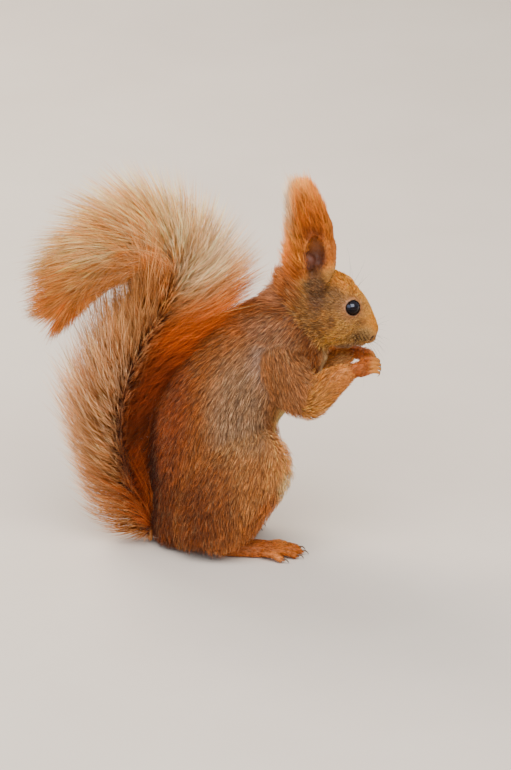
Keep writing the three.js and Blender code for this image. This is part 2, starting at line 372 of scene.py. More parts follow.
# skin
skinShape = {
    "step": 1.0,                      # coarse grid; the skin itself is cut at half of it
    "seam": 0.4,                      # closes the thin cuts between the solids
    "trunkDepth": 5.0, "bellyDepth": 4.0, "neckDepth": 4.2, "headDepth": 1.4, "muzzleDepth": 0.4,
    "armDepth": 2.6, "wristDepth": 0.9, "thighDepth": 4.2, "ankleDepth": 2.2, "footDepth": 0.45,
    "handDepth": 0.5,
    "earDepth": 0.9, "earTuftDepth": 7.0, "earTuft": (200, 218),
    "earBack": 4.5, "earBackEdge": (-65, -56),
    "earRoot": 7, "earRootTop": (166, 186), "earFillet": 8.0,
    "nape": (62, 147), "napeWay": (0.81, 0.59),    # the neck's line, by which head and trunk are told apart
    "softer": (2, 7, 24),             # passes of softening: head, limbs, back
    "mostTriangles": 180000,
}
face = {
    "mouth": [(105.2, 0.0, 131.4), (102.2, 3.4, 129.6), (98, 5.8, 128.9), (93.5, 7.4, 129.6),
              (89.5, 8.6, 131.2)],
    "mouthWidth": 0.7,
    "philtrum": [(107.2, 0, 134.6), (105.0, 0, 131.2)], "philtrumWidth": 0.4,
    "snout": [((101.6, 0, 135), (4.9, 4.5, 3.9)), ((96.6, 0, 132), (3.8, 3.6, 2.7))],
    "nostril": [(104.3, 136.6), (103.7, 135.6), (102.8, 134.2)], "nostrilWidth": 0.6,    # seen from the side
    "lidReach": 0.85,                 # the opening's radius as a share of the eyeball's
    "lidFlat": 0.04,                  # and how much less it is above and below
    "lidThick": 0.42,
    "eyeOut": (0.30, 0.90, 0.20),     # the way the left eye looks
    "eyeTop": (-0.35, 0.0, 1.0),
    "nosePad": ((107.6, 0, 136.2), (2.0, 2.8, 2.2)),
}
fingers = {
    "count": 4, "knuckle": (101, 10.6, 119.4), "fan": 3.0, "lean": 0.8, "gather": 0.2,
    "leftBack": (-2.6, 0, -0.8),
    "bend": [(-4, 1.2, -0.2), (0, 0.2, 0.5), (3.6, -0.8, 0.6), (6.6, -1.8, -0.2), (8.0, -2.6, -1.4)],
    "radius": (1.4, 1.35, 1.25, 1.15, 0.9), "palmEnd": 100,
}
earHollow = {
    "at": (69.4, 20.6, 196.5), "size": (5.6, 7.0, 10), "lower": [(66.5, 20, 191), (66.8, 19.4, 184)],
    "lowerWidth": 4.6,
    "lobes": [((65.4, 15.6, 188.5), (4.6, 3.4, 4.8)), ((71.4, 15.2, 185.5), (2.2, 3.0, 4.0))],
    # dark: the hollow's skin darkened with painted shade inside the cup; lobe and rim are the skin's own
    # colours
    "dark": (64, 32, 20), "lobe": (142, 72, 46), "rim": (164, 104, 74),
}
tailCore = {
    "path": [(-20, 1, 14), (-29, 2, 9), (-37, 3, 17), (-44, 3, 39), (-48, 3, 62), (-48, 3, 85),
             (-43.5, 3, 105), (-36, 3, 124), (-27, 3, 141), (-19, 3, 157), (-14.5, 3, 173), (-18, 3, 185),
             (-29, 3, 191), (-42.5, 3, 190), (-56, 3, 181),
             (-70, 3, 167), (-82, 3, 154)],
    "rootRadius": 6.0, "tipRadius": 2.0, "rings": 150, "around": 14,
}


def alongPath(points, count):
    # a smooth line through the points, as `count` places and their directions
    p = np.asarray(points, dtype=float)
    padded = np.vstack([2 * p[0] - p[1], p, 2 * p[-1] - p[-2]])
    t = np.linspace(0, len(p) - 1, count)
    i = np.minimum(t.astype(int), len(p) - 2)
    f = (t - i)[:, None]
    a, b, c, d = (padded[i + k] for k in range(4))
    spot = 0.5 * (2 * b + (c - a) * f + (2 * a - 5 * b + 4 * c - d) * f ** 2
                  + (3 * b - a - 3 * c + d) * f ** 3)
    return spot, unit(np.gradient(spot, axis=0))


def lineDistance(grid, window, points, radius):
    # distance to a rounded line, of one radius or of one for each point, in a window of the grid
    x, y, z = grid.mesh(window)
    best = None
    p = np.asarray(points, dtype=float)
    radii = np.broadcast_to(radius, len(p)).astype(float)
    for i in range(len(p) - 1):
        a, ab = p[i], p[i + 1] - p[i]
        t = np.clip(((x - a[0]) * ab[0] + (y - a[1]) * ab[1] + (z - a[2]) * ab[2]) / (ab @ ab), 0, 1)
        d = np.sqrt((x - a[0] - t * ab[0]) ** 2 + (y - a[1] - t * ab[1]) ** 2 + (z - a[2] - t * ab[2]) ** 2)
        d = d - radii[i] - (radii[i + 1] - radii[i]) * t
        best = d if best is None else np.minimum(best, d)
    return best


def ballDistance(grid, window, centre, size):
    # distance to an ellipsoid, near enough for shallow cuts
    x, y, z = grid.mesh(window)
    size = np.asarray(size, dtype=float)
    k = np.sqrt(((x - centre[0]) / size[0]) ** 2 + ((y - centre[1]) / size[1]) ** 2
                + ((z - centre[2]) / size[2]) ** 2)
    return (k - 1) * size.min()


def fingerJoints(sign):
    # the joints of each finger of one hand, from the knuckle to the tip
    s = fingers
    for i in range(s["count"]):
        offset = (i - (s["count"] - 1) / 2) * s["fan"]
        base = np.array(s["knuckle"]) + (np.array(s["leftBack"]) if sign > 0 else 0)
        base = base + np.array((0, offset * (1 - s["lean"] * 0.6), -offset * s["lean"]))
        inwards = np.array((-abs(offset), 0, offset * s["lean"])) * s["gather"] / (len(s["bend"]) - 1)
        yield [mirror(base + np.array(b) + inwards * k, sign) for k, b in enumerate(s["bend"])]


def mirror(point, sign):
    return (point[0], point[1] * sign, point[2])


def closedField(grid, names, reach):
    # one field for several solids, with the thin cuts between them filled in
    raw = None
    owner = None
    for i, name in enumerate(names):
        d = grid.distance(*nodeMesh(name), 3)
        if raw is None:
            raw, owner = d, np.zeros(d.shape, dtype=np.int8)
        else:
            owner[d < raw] = i
            raw = np.minimum(raw, d)
    seam = skinShape["seam"]
    points, tris = grid.surface(raw, seam)
    return grid.distance(points, tris, reach) + seam, owner


def upTheNeck(x, z):
    # how far a place lies up the neck's line, from the nape
    (x0, z0), (ahead, rise) = skinShape["nape"], skinShape["napeWay"]
    return (x - x0) * ahead + (z - z0) * rise


def coatDepth(x, y, z):
    # how far the skin lies inside the outline, by place
    s = skinShape
    up = upTheNeck(x, z)
    deep = mix(s["trunkDepth"], s["bellyDepth"], smoothstep(25, 45, x)) + 0 * y
    deep = mix(deep, s["neckDepth"], smoothstep(-26, -8, up))
    deep = mix(deep, s["headDepth"], smoothstep(-8, 14, up) * smoothstep(116, 128, z))
    deep = mix(deep, s["muzzleDepth"], smoothstep(92, 104, x) * smoothstep(124, 128, z))
    arm = (smoothstep(46, 58, x) * smoothstep(8, 15, np.abs(y))
           * smoothstep(78, 84, z) * (1 - smoothstep(123, 130, z)))
    deep = mix(deep, mix(s["armDepth"], s["wristDepth"], smoothstep(66, 90, x)), arm)
    leg = (1 - smoothstep(70, 88, z)) * smoothstep(26, 34, np.abs(y))
    return mix(deep, mix(s["thighDepth"], s["ankleDepth"], 1 - smoothstep(4, 26, z)), leg)


def onMuzzle(grid, field, x, z):
    # how far out the left side of the muzzle lies at a place seen from the side
    outwards = np.linspace(0.5, 9, 86)
    line = np.column_stack([np.full(86, x), outwards, np.full(86, z)])
    return outwards[grid.read(field, line) < 0].max(initial=0.5)


def eyeBall(side):
    # the middle of an eye's solid and its radius
    low, high = boxes[f"eye_{side}"]
    return (low + high) / 2, (high[0] - low[0]) / 2


def makeSkinField():
    s = skinShape
    low = np.min([boxes[n][0] for n in nodeNames], axis=0) - 5
    high = np.max([boxes[n][1] for n in nodeNames], axis=0) + 5
    coarse = Grid(low, high, skinShape["step"])
    body, owner = closedField(coarse, bodyNames + earNames + eyeNames, 14)
    plume, _ = closedField(coarse, tailNames, 30)
    x, y, z = coarse.mesh()
    headShare = smoothstep(-4, 8, upTheNeck(x, z)) * smoothstep(112, 124, z)
    stages = [body]
    for passes in skinShape["softer"]:
        stages.append(soften(stages[-1], passes))
    smooth, smoother, smoothest = stages[1:]
    plain = (1 - smoothstep(60, 74, x)) * smoothstep(14, 30, z + 0 * y) * (1 - headShare)
    smooth = mix(mix(smoother, smoothest, plain), smooth, headShare)
    skin = finer(smooth + coatDepth(x, y, z).astype(np.float32))
    fine = Grid(low, high, skinShape["step"] / 2)
    fine.first = coarse.first * 2
    fine.shape = skin.shape
    print("coarse skin", coarse.shape)

    def sub(names, margin, reach):
        a = np.min([boxes[n][0] for n in names], axis=0) - margin
        b = np.max([boxes[n][1] for n in names], axis=0) + margin
        window = fine.window(a, b)
        grid = Grid(a, b, fine.step)
        grid.first = fine.first + np.array([s.start for s in window])
        grid.shape = tuple(s.stop - s.start for s in window)
        return window, closedField(grid, names, reach)[0]

    def cut(line, width, fillet):
        window = fine.window(np.min(line, axis=0), np.max(line, axis=0), 3)
        skin[window] = -blend(-skin[window], lineDistance(fine, window, line, width), fillet)

    # the blunt end of the muzzle and the chin under it
    for at, size in face["snout"]:
        window = fine.window(np.array(at) - size, np.array(at) + size, 3)
        skin[window] = blend(skin[window], ballDistance(fine, window, at, size), 1.2)

    for side, sign in sides.items():
        # fingers and toes at full detail
        wrist = boxes[f"forearm_{side}"][1][0]
        window, hand = sub([f"hand_{side}", f"forearm_{side}"], 4, 12)
        xs = fine.mesh(window)[0]
        share = smoothstep(wrist - 1, wrist + 5, xs)
        hand = soften(hand, 1) + s["handDepth"] + (s["wristDepth"] - s["handDepth"]) * (1 - share)
        hand = np.maximum(hand, xs - fingers["palmEnd"])
        for joints in fingerJoints(sign):
            hand = blend(hand, lineDistance(fine, window, joints, fingers["radius"]), 0.3)
        skin[window] = mix(skin[window], hand, share)
        window, foot = sub([f"foot_{side}"], 4, 12)
        skin[window] = blend(skin[window], soften(foot, 1) + s["footDepth"], 2.0)

        # the ear's thin cup, without the long hair of its tip
        window, ear = sub([f"ear_{side}"], 4, 14)
        xs, _, zs = fine.mesh(window)
        tuft = smoothstep(*s["earTuft"], zs)
        ear = soften(ear, 5) + s["earDepth"] + (s["earTuftDepth"] - s["earDepth"]) * tuft
        # its back edge is hair alone
        ear = ear + s["earBack"] * smoothstep(*s["earBackEdge"], -xs) * (1 - tuft)
        ear = ear + s["earRoot"] * (1 - smoothstep(*s["earRootTop"], zs))
        joined = blend(skin[window], ear, s["earFillet"])
        hollow = ballDistance(fine, window, mirror(earHollow["at"], sign), earHollow["size"])
        lower = [mirror(p, sign) for p in earHollow["lower"]]
        hollow = blend(hollow, lineDistance(fine, window, lower, earHollow["lowerWidth"]), 2.0)
        cup = -blend(-joined, hollow, 1.2)
        for at, size in earHollow["lobes"]:
            cup = blend(cup, ballDistance(fine, window, mirror(at, sign), size), 1.4)
        skin[window] = cup

        # the eye's socket and its lids
        centre, radius = eyeBall(side)
        window = fine.window(centre, centre, 11)
        out = unit(np.array(mirror(face["eyeOut"], sign)))
        dx, dy, dz = (axis - middle for axis, middle in zip(fine.mesh(window), centre))
        ball = np.sqrt(dx ** 2 + dy ** 2 + dz ** 2)
        ahead = dx * out[0] + dy * out[1] + dz * out[2]
        across = np.sqrt(np.maximum(ball ** 2 - ahead ** 2, 1e-4))
        tall = unit(np.cross(np.cross(out, face["eyeTop"]), out))
        height = (dx * tall[0] + dy * tall[1] + dz * tall[2]) / across
        rim = radius * (face["lidReach"] - face["lidFlat"] * height ** 2)
        opening = rim + face["lidThick"] * 0.4 - np.where(ahead > 0, across, 99)
        lid = -blend(radius + face["lidThick"] - ball, -opening, 0.4)
        skin[window] = np.maximum(blend(skin[window], lid, 1.2), radius + 0.05 - ball)

        # nostril and mouth
        cut([mirror((x, onMuzzle(fine, skin, x, z), z), sign) for x, z in face["nostril"]],
            face["nostrilWidth"], 0.4)
        cut([mirror(p, sign) for p in face["mouth"]], face["mouthWidth"], 0.5)
    cut(face["philtrum"], face["philtrumWidth"], 0.5)
    return coarse, fine, body, plume, owner, skin


def tube(path, radii, around):
    # a closed tube: places along it, its radius at each, and the corners round it
    spot, ahead = path
    side = np.empty_like(spot)
    current = unit(np.cross(ahead[0], [0, 1, 0.01]))
    for i, t in enumerate(ahead):
        current = unit(current - t * (current @ t))
        side[i] = current
    other = np.cross(ahead, side)
    angle = np.linspace(0, 2 * math.pi, around, endpoint=False)
    ring = np.cos(angle)[None, :, None] * side[:, None] + np.sin(angle)[None, :, None] * other[:, None]
    points = (spot[:, None] + ring * np.asarray(radii)[:, None, None]).reshape(-1, 3)
    tris = []
    for i in range(len(spot) - 1):
        for k in range(around):
            a, b = i * around + k, i * around + (k + 1) % around
            tris += [(a, b, b + around), (a, b + around, a + around)]
    first, last = len(points), len(points) + 1
    end = (len(spot) - 1) * around
    for k in range(around):
        tris += [(first, (k + 1) % around, k), (last, end + k, end + (k + 1) % around)]
    return np.vstack([points, spot[:1], spot[-1:]]), np.array(tris)


coarse, fine, body, plume, owner, skinField = makeSkinField()


def bareMaterial():
    t = Tree("bareSkin")
    tone = t.add("ShaderNodeAttribute", {"attribute_name": "fur"}).outputs["Color"]
    speck = t.noise(900, 4.0)
    tone = t.mix(t.span(speck, 0.3, 0.7, 0.0, 0.5), tone, t.mix(0.5, tone, rgba((70, 42, 30)), "MULTIPLY"))
    hairs = t.noise(1500, 3.0, 0.6)
    return t.finish(Base_Color=tone, Roughness=0.6, Normal=t.bump(hairs, 0.35, 0.0004))


def makeSkin():
    points, tris = fine.surface(np.clip(skinField, -1.5, 1.5))
    skin = meshFrom("skin", points, tris, bareMaterial())
    down = skin.modifiers.new("fewer", "DECIMATE")
    down.ratio = skinShape["mostTriangles"] / len(tris)
    depsgraph = bpy.context.evaluated_depsgraph_get()
    mesh = bpy.data.meshes.new_from_object(skin.evaluated_get(depsgraph))
    bpy.data.objects.remove(skin)
    thin = readArray(mesh.vertices, "co", np.float32, 3) / mm
    corners = readArray(mesh.loops, "vertex_index", np.int32).reshape(-1, 3)
    radii = np.linspace(tailCore["rootRadius"], tailCore["tipRadius"], tailCore["rings"])
    tail, tailTris = tube(alongPath(tailCore["path"], tailCore["rings"]), radii, tailCore["around"])
    both = meshFrom("skin", np.vstack([thin, tail]), np.vstack([corners, tailTris + len(thin)]),
                    bareMaterial())
    print("skin", len(points), "points,", len(both.data.polygons), "triangles after thinning")
    return both, points, tris, len(thin)


skin, skinPoints, skinTris, skinBodyCount = makeSkin()


# where each sort of coat grows
backSet = {"thigh_left": 8, "shank_left": 8, "foot_left": 26}      # how far back the left hind limb is set
regionNames = bodyNames + earNames + eyeNames
regionKinds = np.array([n.removesuffix("_right").removesuffix("_left").replace("eye", "head")
                        for n in regionNames])


def earBaseAt(x):
    # the height at which the ear leaves the head
    return np.interp(x, [54, 62, 70, 78], [168, 173, 178, 183])


def regionAt(places):
    # the number of the solid that each place belongs to; the low base of an ear counts as head
    i = np.clip(np.round(places / coarse.step).astype(int) - coarse.first, 0, np.array(coarse.shape) - 1)
    region = owner[i[:, 0], i[:, 1], i[:, 2]].astype(int)
    isBase = (regionKinds[region] == "ear") & (places[:, 2] < earBaseAt(places[:, 0]))
    return np.where(isBase, regionNames.index("head"), region)


def onLeftSide(places, regions):
    # the same places as if they lay on the animal's left side, in the right hind limb's position
    out = np.array(places, dtype=float)
    for name, by in backSet.items():
        out[regions == regionNames.index(name), 0] += by
    out[:, 1] = np.abs(out[:, 1])
    return out


# The lie of the coat: lines that the hairs follow, for the left side.
lie = {
    "trunk": [[(60, 0, 180), (36, 2, 160), (8, 4, 140), (-14, 6, 110), (-27, 8, 76), (-32, 10, 40),
               (-30, 12, 4)],
              [(60, 18, 150), (36, 27, 130), (20, 32, 104), (13, 33, 76), (12, 33, 40), (18, 32, 4)],
              [(80, 4, 132), (66, 8, 114), (54, 8, 90), (48, 8, 60), (44, 8, 30), (42, 8, 6)]],
    "neck": [[(62, 5, 184), (46, 8, 166), (28, 12, 148)], [(76, 16, 152), (60, 20, 138), (44, 25, 122)],
             [(88, 4, 130), (74, 6, 124), (62, 8, 110)]],
    "thigh": [[(44, 30, 92), (36, 42, 72), (28, 45, 48), (24, 44, 26), (22, 40, 6)],
              [(50, 28, 94), (57, 28, 78), (54, 30, 50), (45, 30, 30), (37, 30, 8)],
              [(46, 12, 88), (44, 10, 60), (38, 10, 30), (34, 10, 8)],
              [(8, 34, 62), (1, 38, 32), (2, 38, 4)]],
    "shank": [[(30, 38, 44), (24, 38, 24), (20, 36, 6)], [(48, 28, 42), (42, 28, 22), (34, 28, 8)],
              [(38, 10, 30), (32, 10, 8)]],
    "upper_arm": [[(44, 22, 138), (50, 30, 120), (57, 34, 104), (62, 32, 92)],
                  [(58, 12, 128), (66, 14, 112), (68, 18, 98)]],
    "forearm": [[(54, 30, 92), (68, 31, 96), (82, 25, 106), (94, 19, 116)],
                [(60, 16, 102), (74, 12, 112), (92, 9, 120)]],
    "hand": [[(90, 16, 118), (100, 12, 119), (110, 8, 118)]],
    "foot": [[(4, 20, 8), (30, 20, 10), (50, 21, 6), (68, 24, 2)]],
    "ear": [[(68, 14, 164), (54, 15, 178), (46, 17, 198), (44, 18, 240)],
            [(69, 16, 170), (67, 18, 196), (62, 19, 216), (57, 18, 240)],
            [(78, 14, 172), (81, 17, 196), (76, 19, 216), (67, 18, 240)]],
    "nose": (108, 0, 134),
    "ruff": ((50, 9, 171), (18, 15, 18)),
}
# The edges that the ear's long hair and the ruff behind it reach, as heights and the way forward there.
earHair = {
    "back": [(160, 30), (170, 36), (180, 41.5), (190, 46), (200, 49), (215, 50), (229, 49.5), (238, 49),
             (245, 53)],
    "front": [(176, 90), (184, 80), (204, 80), (219, 77.5), (229, 74.5), (238, 70.5), (245, 66)],
    "leftLower": [(185, 11), (225, 15)], "longest": 24, "step": 1.5,
}
coat = {
    # hairs on a square millimetre, length in coat depths, extra length, half-width, hold to the surface and
    # drawing together
    "trunk": {"dense": 2.1, "ratio": 1.9, "more": 0, "half": 0.15, "hug": 1.0, "clump": 0.17},
    "neck": {"dense": 2.8, "ratio": 1.9, "more": 0, "half": 0.135, "hug": 1.0, "clump": 0.11},
    "thigh": {"dense": 2.1, "ratio": 1.9, "more": 0, "half": 0.15, "hug": 1.0, "clump": 0.17},
    "shank": {"dense": 1.5, "ratio": 2.0, "more": 0, "half": 0.15, "hug": 1.0, "clump": 0.17},
    "upper_arm": {"dense": 2.2, "ratio": 2.3, "more": 0, "half": 0.15, "hug": 1.0, "clump": 0.17},
    "forearm": {"dense": 2.6, "ratio": 2.2, "more": 0.4, "half": 0.15, "hug": 0.9, "clump": 0.16},
    "head": {"dense": 3.4, "ratio": 1.7, "more": 0.8, "half": 0.14, "hug": 0.8, "clump": 0.1},
    "hand": {"dense": 3.6, "ratio": 1.6, "more": 1.2, "half": 0.12, "hug": 0.7, "clump": 0.1},
    "foot": {"dense": 2.6, "ratio": 2.0, "more": 1.7, "half": 0.14, "hug": 0.6, "clump": 0.15},
    "ear": {"dense": 3.4, "ratio": 1.0, "more": 6, "half": 0.12, "hug": 0.0, "clump": 0.12},
    "mostHairs": 86000,
    "clumpOf": 5,                     # hairs to a tuft
    "stray": 0.05,                    # share of hairs that stand a little proud
    "eyeClear": 1.13,                 # bare round the eye, in its radii
    "pieceTriangles": 190000,
    "patch": 0.003,                   # side of a hair's patch in the UV map
}
# The markings: a colour for each part of the body with soft patches over it. Each patch has a place on the
# left side, its half-sizes, its colour and how far it covers what is under it.
markings = {
    "trunk": {"base": (172, 100, 46), "patches": [
        # the rear of the trunk and its lower part: darker in colour, deepened with painted shade on the side
        # turned from the light
        ((-22, 0, 90), (24, 34, 70), (152, 74, 38), 0.85),
        ((-28, 0, 22), (28, 44, 44), (117, 59, 28), 0.8),
        # painted shadow: a dark strip in the crevice where the tail's root meets the back
        ((-32, 0, 50), (10, 44, 66), (56, 22, 10), 0.85),
        ((24, 36, 98), (24, 30, 50), (199, 157, 121), 0.85),
        ((50, 30, 130), (24, 26, 24), (194, 160, 140), 0.85),
        ((22, 0, 158), (34, 26, 20), (196, 109, 53), 0.7),
        ((56, 0, 84), (18, 22, 60), (255, 222, 146), 0.95),
        ((74, 0, 118), (16, 18, 20), (250, 222, 184), 0.95)]},
    "neck": {"base": (158, 88, 39), "patches": [
        ((50, 0, 172), (26, 18, 18), (212, 140, 93), 0.9),
        ((38, 20, 138), (22, 18, 18), (190, 132, 94), 0.85),
        ((84, 0, 120), (20, 15, 16), (232, 194, 140), 0.95)]},
    "thigh": {"base": (206, 132, 68), "patches": [
        # the back of the thigh beside the rump: darker in colour, deepened with painted shade as on the rump
        ((4, 38, 30), (20, 20, 50), (147, 78, 35), 0.7),
        ((-6, 36, 20), (16, 24, 46), (128, 65, 31), 0.6),
        ((24, 38, 84), (30, 24, 16), (204, 158, 112), 0.6),
        ((50, 34, 56), (12, 20, 42), (244, 166, 92), 0.8),
        ((58, 24, 62), (5, 14, 34), (255, 220, 160), 0.75),
        ((24, 40, 2), (40, 30, 16), (184, 106, 48), 0.5),
        ((42, 8, 50), (20, 12, 50), (232, 192, 138), 0.8)]},
    "shank": {"base": (198, 118, 56), "patches": [
        ((44, 10, 22), (20, 12, 30), (224, 180, 124), 0.7),
        ((54, 30, 50), (10, 24, 26), (250, 204, 140), 0.9)]},
    "upper_arm": {"base": (182, 118, 68), "patches": [((64, 10, 110), (16, 9, 26), (226, 184, 132), 0.8)]},
    "forearm": {"base": (221, 146, 67), "patches": [
        ((84, 18, 112), (20, 9, 14), (214, 126, 50), 0.6),
        ((84, 4, 112), (24, 9, 16), (236, 196, 150), 0.85)]},
    "hand": {"base": (190, 98, 26), "patches": [((108, 9, 118), (7, 9, 8), (208, 132, 42), 0.9)]},
    "foot": {"base": (232, 138, 59), "patches": [
        # painted shadow: the back of the foot darker where the thigh overhangs it
        ((30, 22, 6), (20, 16, 12), (178, 92, 28), 0.85),
        ((60, 24, 3), (14, 14, 8), (182, 93, 8), 0.9)]},
    "head": {"base": (215, 151, 69), "patches": [
        ((82, 0, 172), (26, 11, 14), (246, 154, 49), 0.95),
        ((66, 14, 150), (13, 13, 18), (164, 108, 54), 0.7),
        ((80, 14, 164), (9, 8, 9), (139, 94, 51), 0.7),
        ((69.8, 15, 172), (6.4, 10, 18), (104, 64, 39), 0.75),
        ((51, 8, 172), (13, 14, 18), (198, 111, 49), 0.9),
        ((101, 0, 145), (9, 9, 9), (226, 142, 28), 0.85),
        ((98, 9, 137), (9, 7, 8), (192, 150, 92), 0.8),
        ((88, 6, 128), (16, 9, 5), (153, 117, 88), 0.8),
        ((91.3, 12, 157.3), (9.5, 9, 8.5), (192, 134, 82), 0.8),
        ((79.5, 15, 150), (2.6, 6, 5), (122, 72, 34), 0.6),
        ((95, 9.5, 139.5), (1.8, 5, 3.6), (124, 78, 38), 0.4),
        ((96.5, 9.5, 148), (5, 4, 2.4), (130, 78, 34), 0.5)]},
    "ear": {"base": (232, 136, 46), "patches": [
        ((68, 19, 213), (9, 9, 9), (216, 110, 23), 0.85),
        # painted shade in the ear's hollow, on its hair and skin
        ((70, 20, 193), (6.5, 8, 12), (92, 44, 22), 0.95),
        ((69.8, 16, 181), (6, 12, 8), (100, 60, 36), 0.8),
        ((69, 20, 207), (7, 9, 5), (150, 74, 18), 0.8),
        ((58, 12, 176), (6, 12, 14), (200, 108, 38), 0.8),
        ((51, 17, 218), (7, 12, 26), (228, 206, 182), 0.95),
        ((80, 14, 206), (4, 12, 26), (186, 102, 21), 0.85),
        ((60, 17, 239), (13, 12, 10), (238, 194, 122), 0.7)]},
    # the share of dark-tipped and of pale-tipped hairs, by place
    "ticking": [((27, 36, 92), (22, 28, 50), 0.34, 0.36), ((70, 12, 160), (20, 16, 26), 0.38, 0.22),
                ((70, 15, 174), (5.4, 10, 18), 0.42, 0.55), ((92, 10, 148), (15, 12, 22), 0.3, 0.26),
                ((101, 4, 144), (11, 12, 16), 0.24, 0.2),
                ((56, 12, 140), (26, 20, 24), 0.26, 0.3), ((24, 40, 60), (30, 20, 30), 0.2, 0.22)],
    "commonTicking": (0.06, 0.12),
    # dark streaks between the roots of the whiskers: place, half-sizes, slant and distance apart
    "pad": ((98.9, 8, 137.1), (5.2, 6, 5), 0.42, 2.05),
    "straw": (236, 208, 160),
    "soot": (66, 44, 30),
    # share of the skin's tone kept under deep coat; the rest is painted shade
    "shadeUnderHair": 0.8,
    "earBlend": 9,
    "noseColour": (112, 66, 52), "nostrilColour": (52, 28, 20), "underTail": (96, 44, 18),
    "lidColour": (50, 32, 26), "haloColour": (166, 106, 68), "lipColour": (66, 38, 28),
}


def farness(places, at, size):
    # how far out each place lies, 1 on the surface of the ellipsoid
    return np.linalg.norm((places - at) / np.array(size), axis=1)


def cover(places, at, size):
    return 1 - smoothstep(0.55, 1.25, farness(places, at, size))


def markingsOf(kind, p):
    colour = np.tile(srgb(markings[kind]["base"]), (len(p), 1))
    for at, size, shade, share in markings[kind]["patches"]:
        colour = mix(colour, srgb(shade), (share * cover(p, at, size))[:, None])
    return colour


def toneAt(places, regions):
    # the coat's colour at each place, with the markings' patches of painted shade, as sRGB shares
    p = onLeftSide(places, regions)
    tone = np.zeros((len(p), 3))
    for kind in sorted(set(regionKinds)):
        here = regionKinds[regions] == kind
        tone[here] = markingsOf(kind, p[here])
        if kind == "ear":
            # the ear's colours run out into the head's at its base
            up = (p[here][:, 2] - earBaseAt(p[here][:, 0])) / markings["earBlend"]
            tone[here] += (markingsOf("head", p[here]) - tone[here]) * (1 - smoothstep(0, 1, up))[:, None]
    return tone


def lieAt(places, normals, regions):
    # the way the hairs point at each place, along the surface
    p = onLeftSide(places, regions)
    side = np.where(places[:, 1] < 0, -1.0, 1.0)
    way = np.zeros((len(p), 3))
    for kind in set(regionKinds):
        here = regionKinds[regions] == kind
        if kind == "head":
            fromEye = p[here] - eyeBall("left")[0]
            near = np.exp(-(np.linalg.norm(fromEye, axis=1) / 9) ** 2)[:, None]
            way[here] = unit(p[here] - lie["nose"]) + unit(fromEye) * near * 1.2 + np.array((0, 0, -0.25))
            # behind the ears it stands up and back
            behind = cover(p[here], *lie["ruff"])[:, None]
            way[here] += np.array((-1.3, 0.2, 1.7)) * behind
        elif kind in lie:
            total = 0
            for line in lie[kind]:
                spot, ahead = alongPath(line, 30)
                gap = np.linalg.norm(p[here][:, None] - spot[None], axis=2)
                total = total + ahead[gap.argmin(axis=1)] / (gap.min(axis=1)[:, None] ** 2.5 + 1)
            way[here] = total
            if kind == "ear":
                # low on its back edge the ear's hair leans further back
                behind = (1 - smoothstep(58, 66, p[here][:, 0])) * (1 - smoothstep(190, 212, p[here][:, 2]))
                way[here] = unit(total) + np.array((-0.5, 0, 0)) * behind[:, None]
            if kind == "neck":
                way[here] = unit(total) + np.array((-0.7, 0.1, 1.2)) * cover(p[here], *lie["ruff"])[:, None]
    way[:, 1] *= side
    way = way - normals * np.sum(way * normals, axis=1, keepdims=True)
    return unit(way)


# hairs
def growHairs(name, paths, half, tones, spots, material):
    # closed three-sided hairs that taper to a point, as one or more plain meshes with their UV patches
    count, steps = paths.shape[:2]
    ahead = unit(np.gradient(paths, axis=1))
    turn = unit(rng.normal(size=(count, 1, 3)))
    side = unit(np.cross(ahead, turn))
    other = np.cross(ahead, side)
    corners = []
    for k in range(3):
        a = 2 * math.pi * k / 3
        corners.append(paths[:, :-1] + (math.cos(a) * side + math.sin(a) * other)[:, :-1] * half[:, :, None])
    ring = np.stack(corners, axis=2).reshape(count, (steps - 1) * 3, 3)
    points = np.concatenate([ring, paths[:, -1:]], axis=1)
    colours = np.concatenate([np.repeat(tones[:, :-1], 3, axis=1), tones[:, -1:]], axis=1)
    tris = [(0, 2, 1)]
    for r in range(steps - 2):
        for k in range(3):
            a, b = r * 3 + k, r * 3 + (k + 1) % 3
            tris += [(a, b, b + 3), (a, b + 3, a + 3)]
    last = (steps - 2) * 3
    tris += [(last + k, last + (k + 1) % 3, last + 3) for k in range(3)]
    tris = np.array(tris)
    each = points.shape[1]
    # every hair's patch: round it one way, along it the other
    share = np.concatenate([np.repeat(np.arange(steps - 1), 3), [steps - 1]]) / (steps - 1)
    round3 = np.concatenate([np.tile([0.0, 0.5, 1.0], steps - 1), [0.5]])
    patch = (np.column_stack([round3, share]) - 0.5) * coat["patch"]
    pieces = []
    room = coat["pieceTriangles"] // len(tris)
    parts = max(1, math.ceil(count / room))
    order = np.argsort(spots[:, 1], kind="stable")
    for i, rows in enumerate(np.array_split(order, parts)):
        n = len(rows)
        faces = (tris[None] + (np.arange(n) * each)[:, None, None]).reshape(-1, 3)
        label = name if parts == 1 else f"{name}{i + 1}"
        piece = meshFrom(label, points[rows].reshape(-1, 3), faces, material)
        paint(piece, linearOf(colours[rows].reshape(-1, 3)))
        low, high = spots[rows].min(axis=0), spots[rows].max(axis=0)
        centre = 0.004 + 0.992 * (spots[rows] - low) / np.maximum(high - low, 1e-6)
        uv = (centre[:, None] + patch[None]).reshape(-1, 2)
        layer = piece.data.uv_layers.new(name="OFBake")
        layer.data.foreach_set("uv", uv[faces.ravel()].astype(np.float32).ravel())
        pieces.append(piece)
    return pieces


def tufts(places, of):
    # for each place, which of a thinned set of places is nearest: the leader of its tuft
    leaders = rng.permutation(len(places))[:max(1, len(places) // of)]
    tree = KDTree(len(leaders))
    for k, i in enumerate(leaders):
        tree.insert(places[i], k)
    tree.balance()
    return leaders[np.array([tree.find(p)[1] for p in places])]


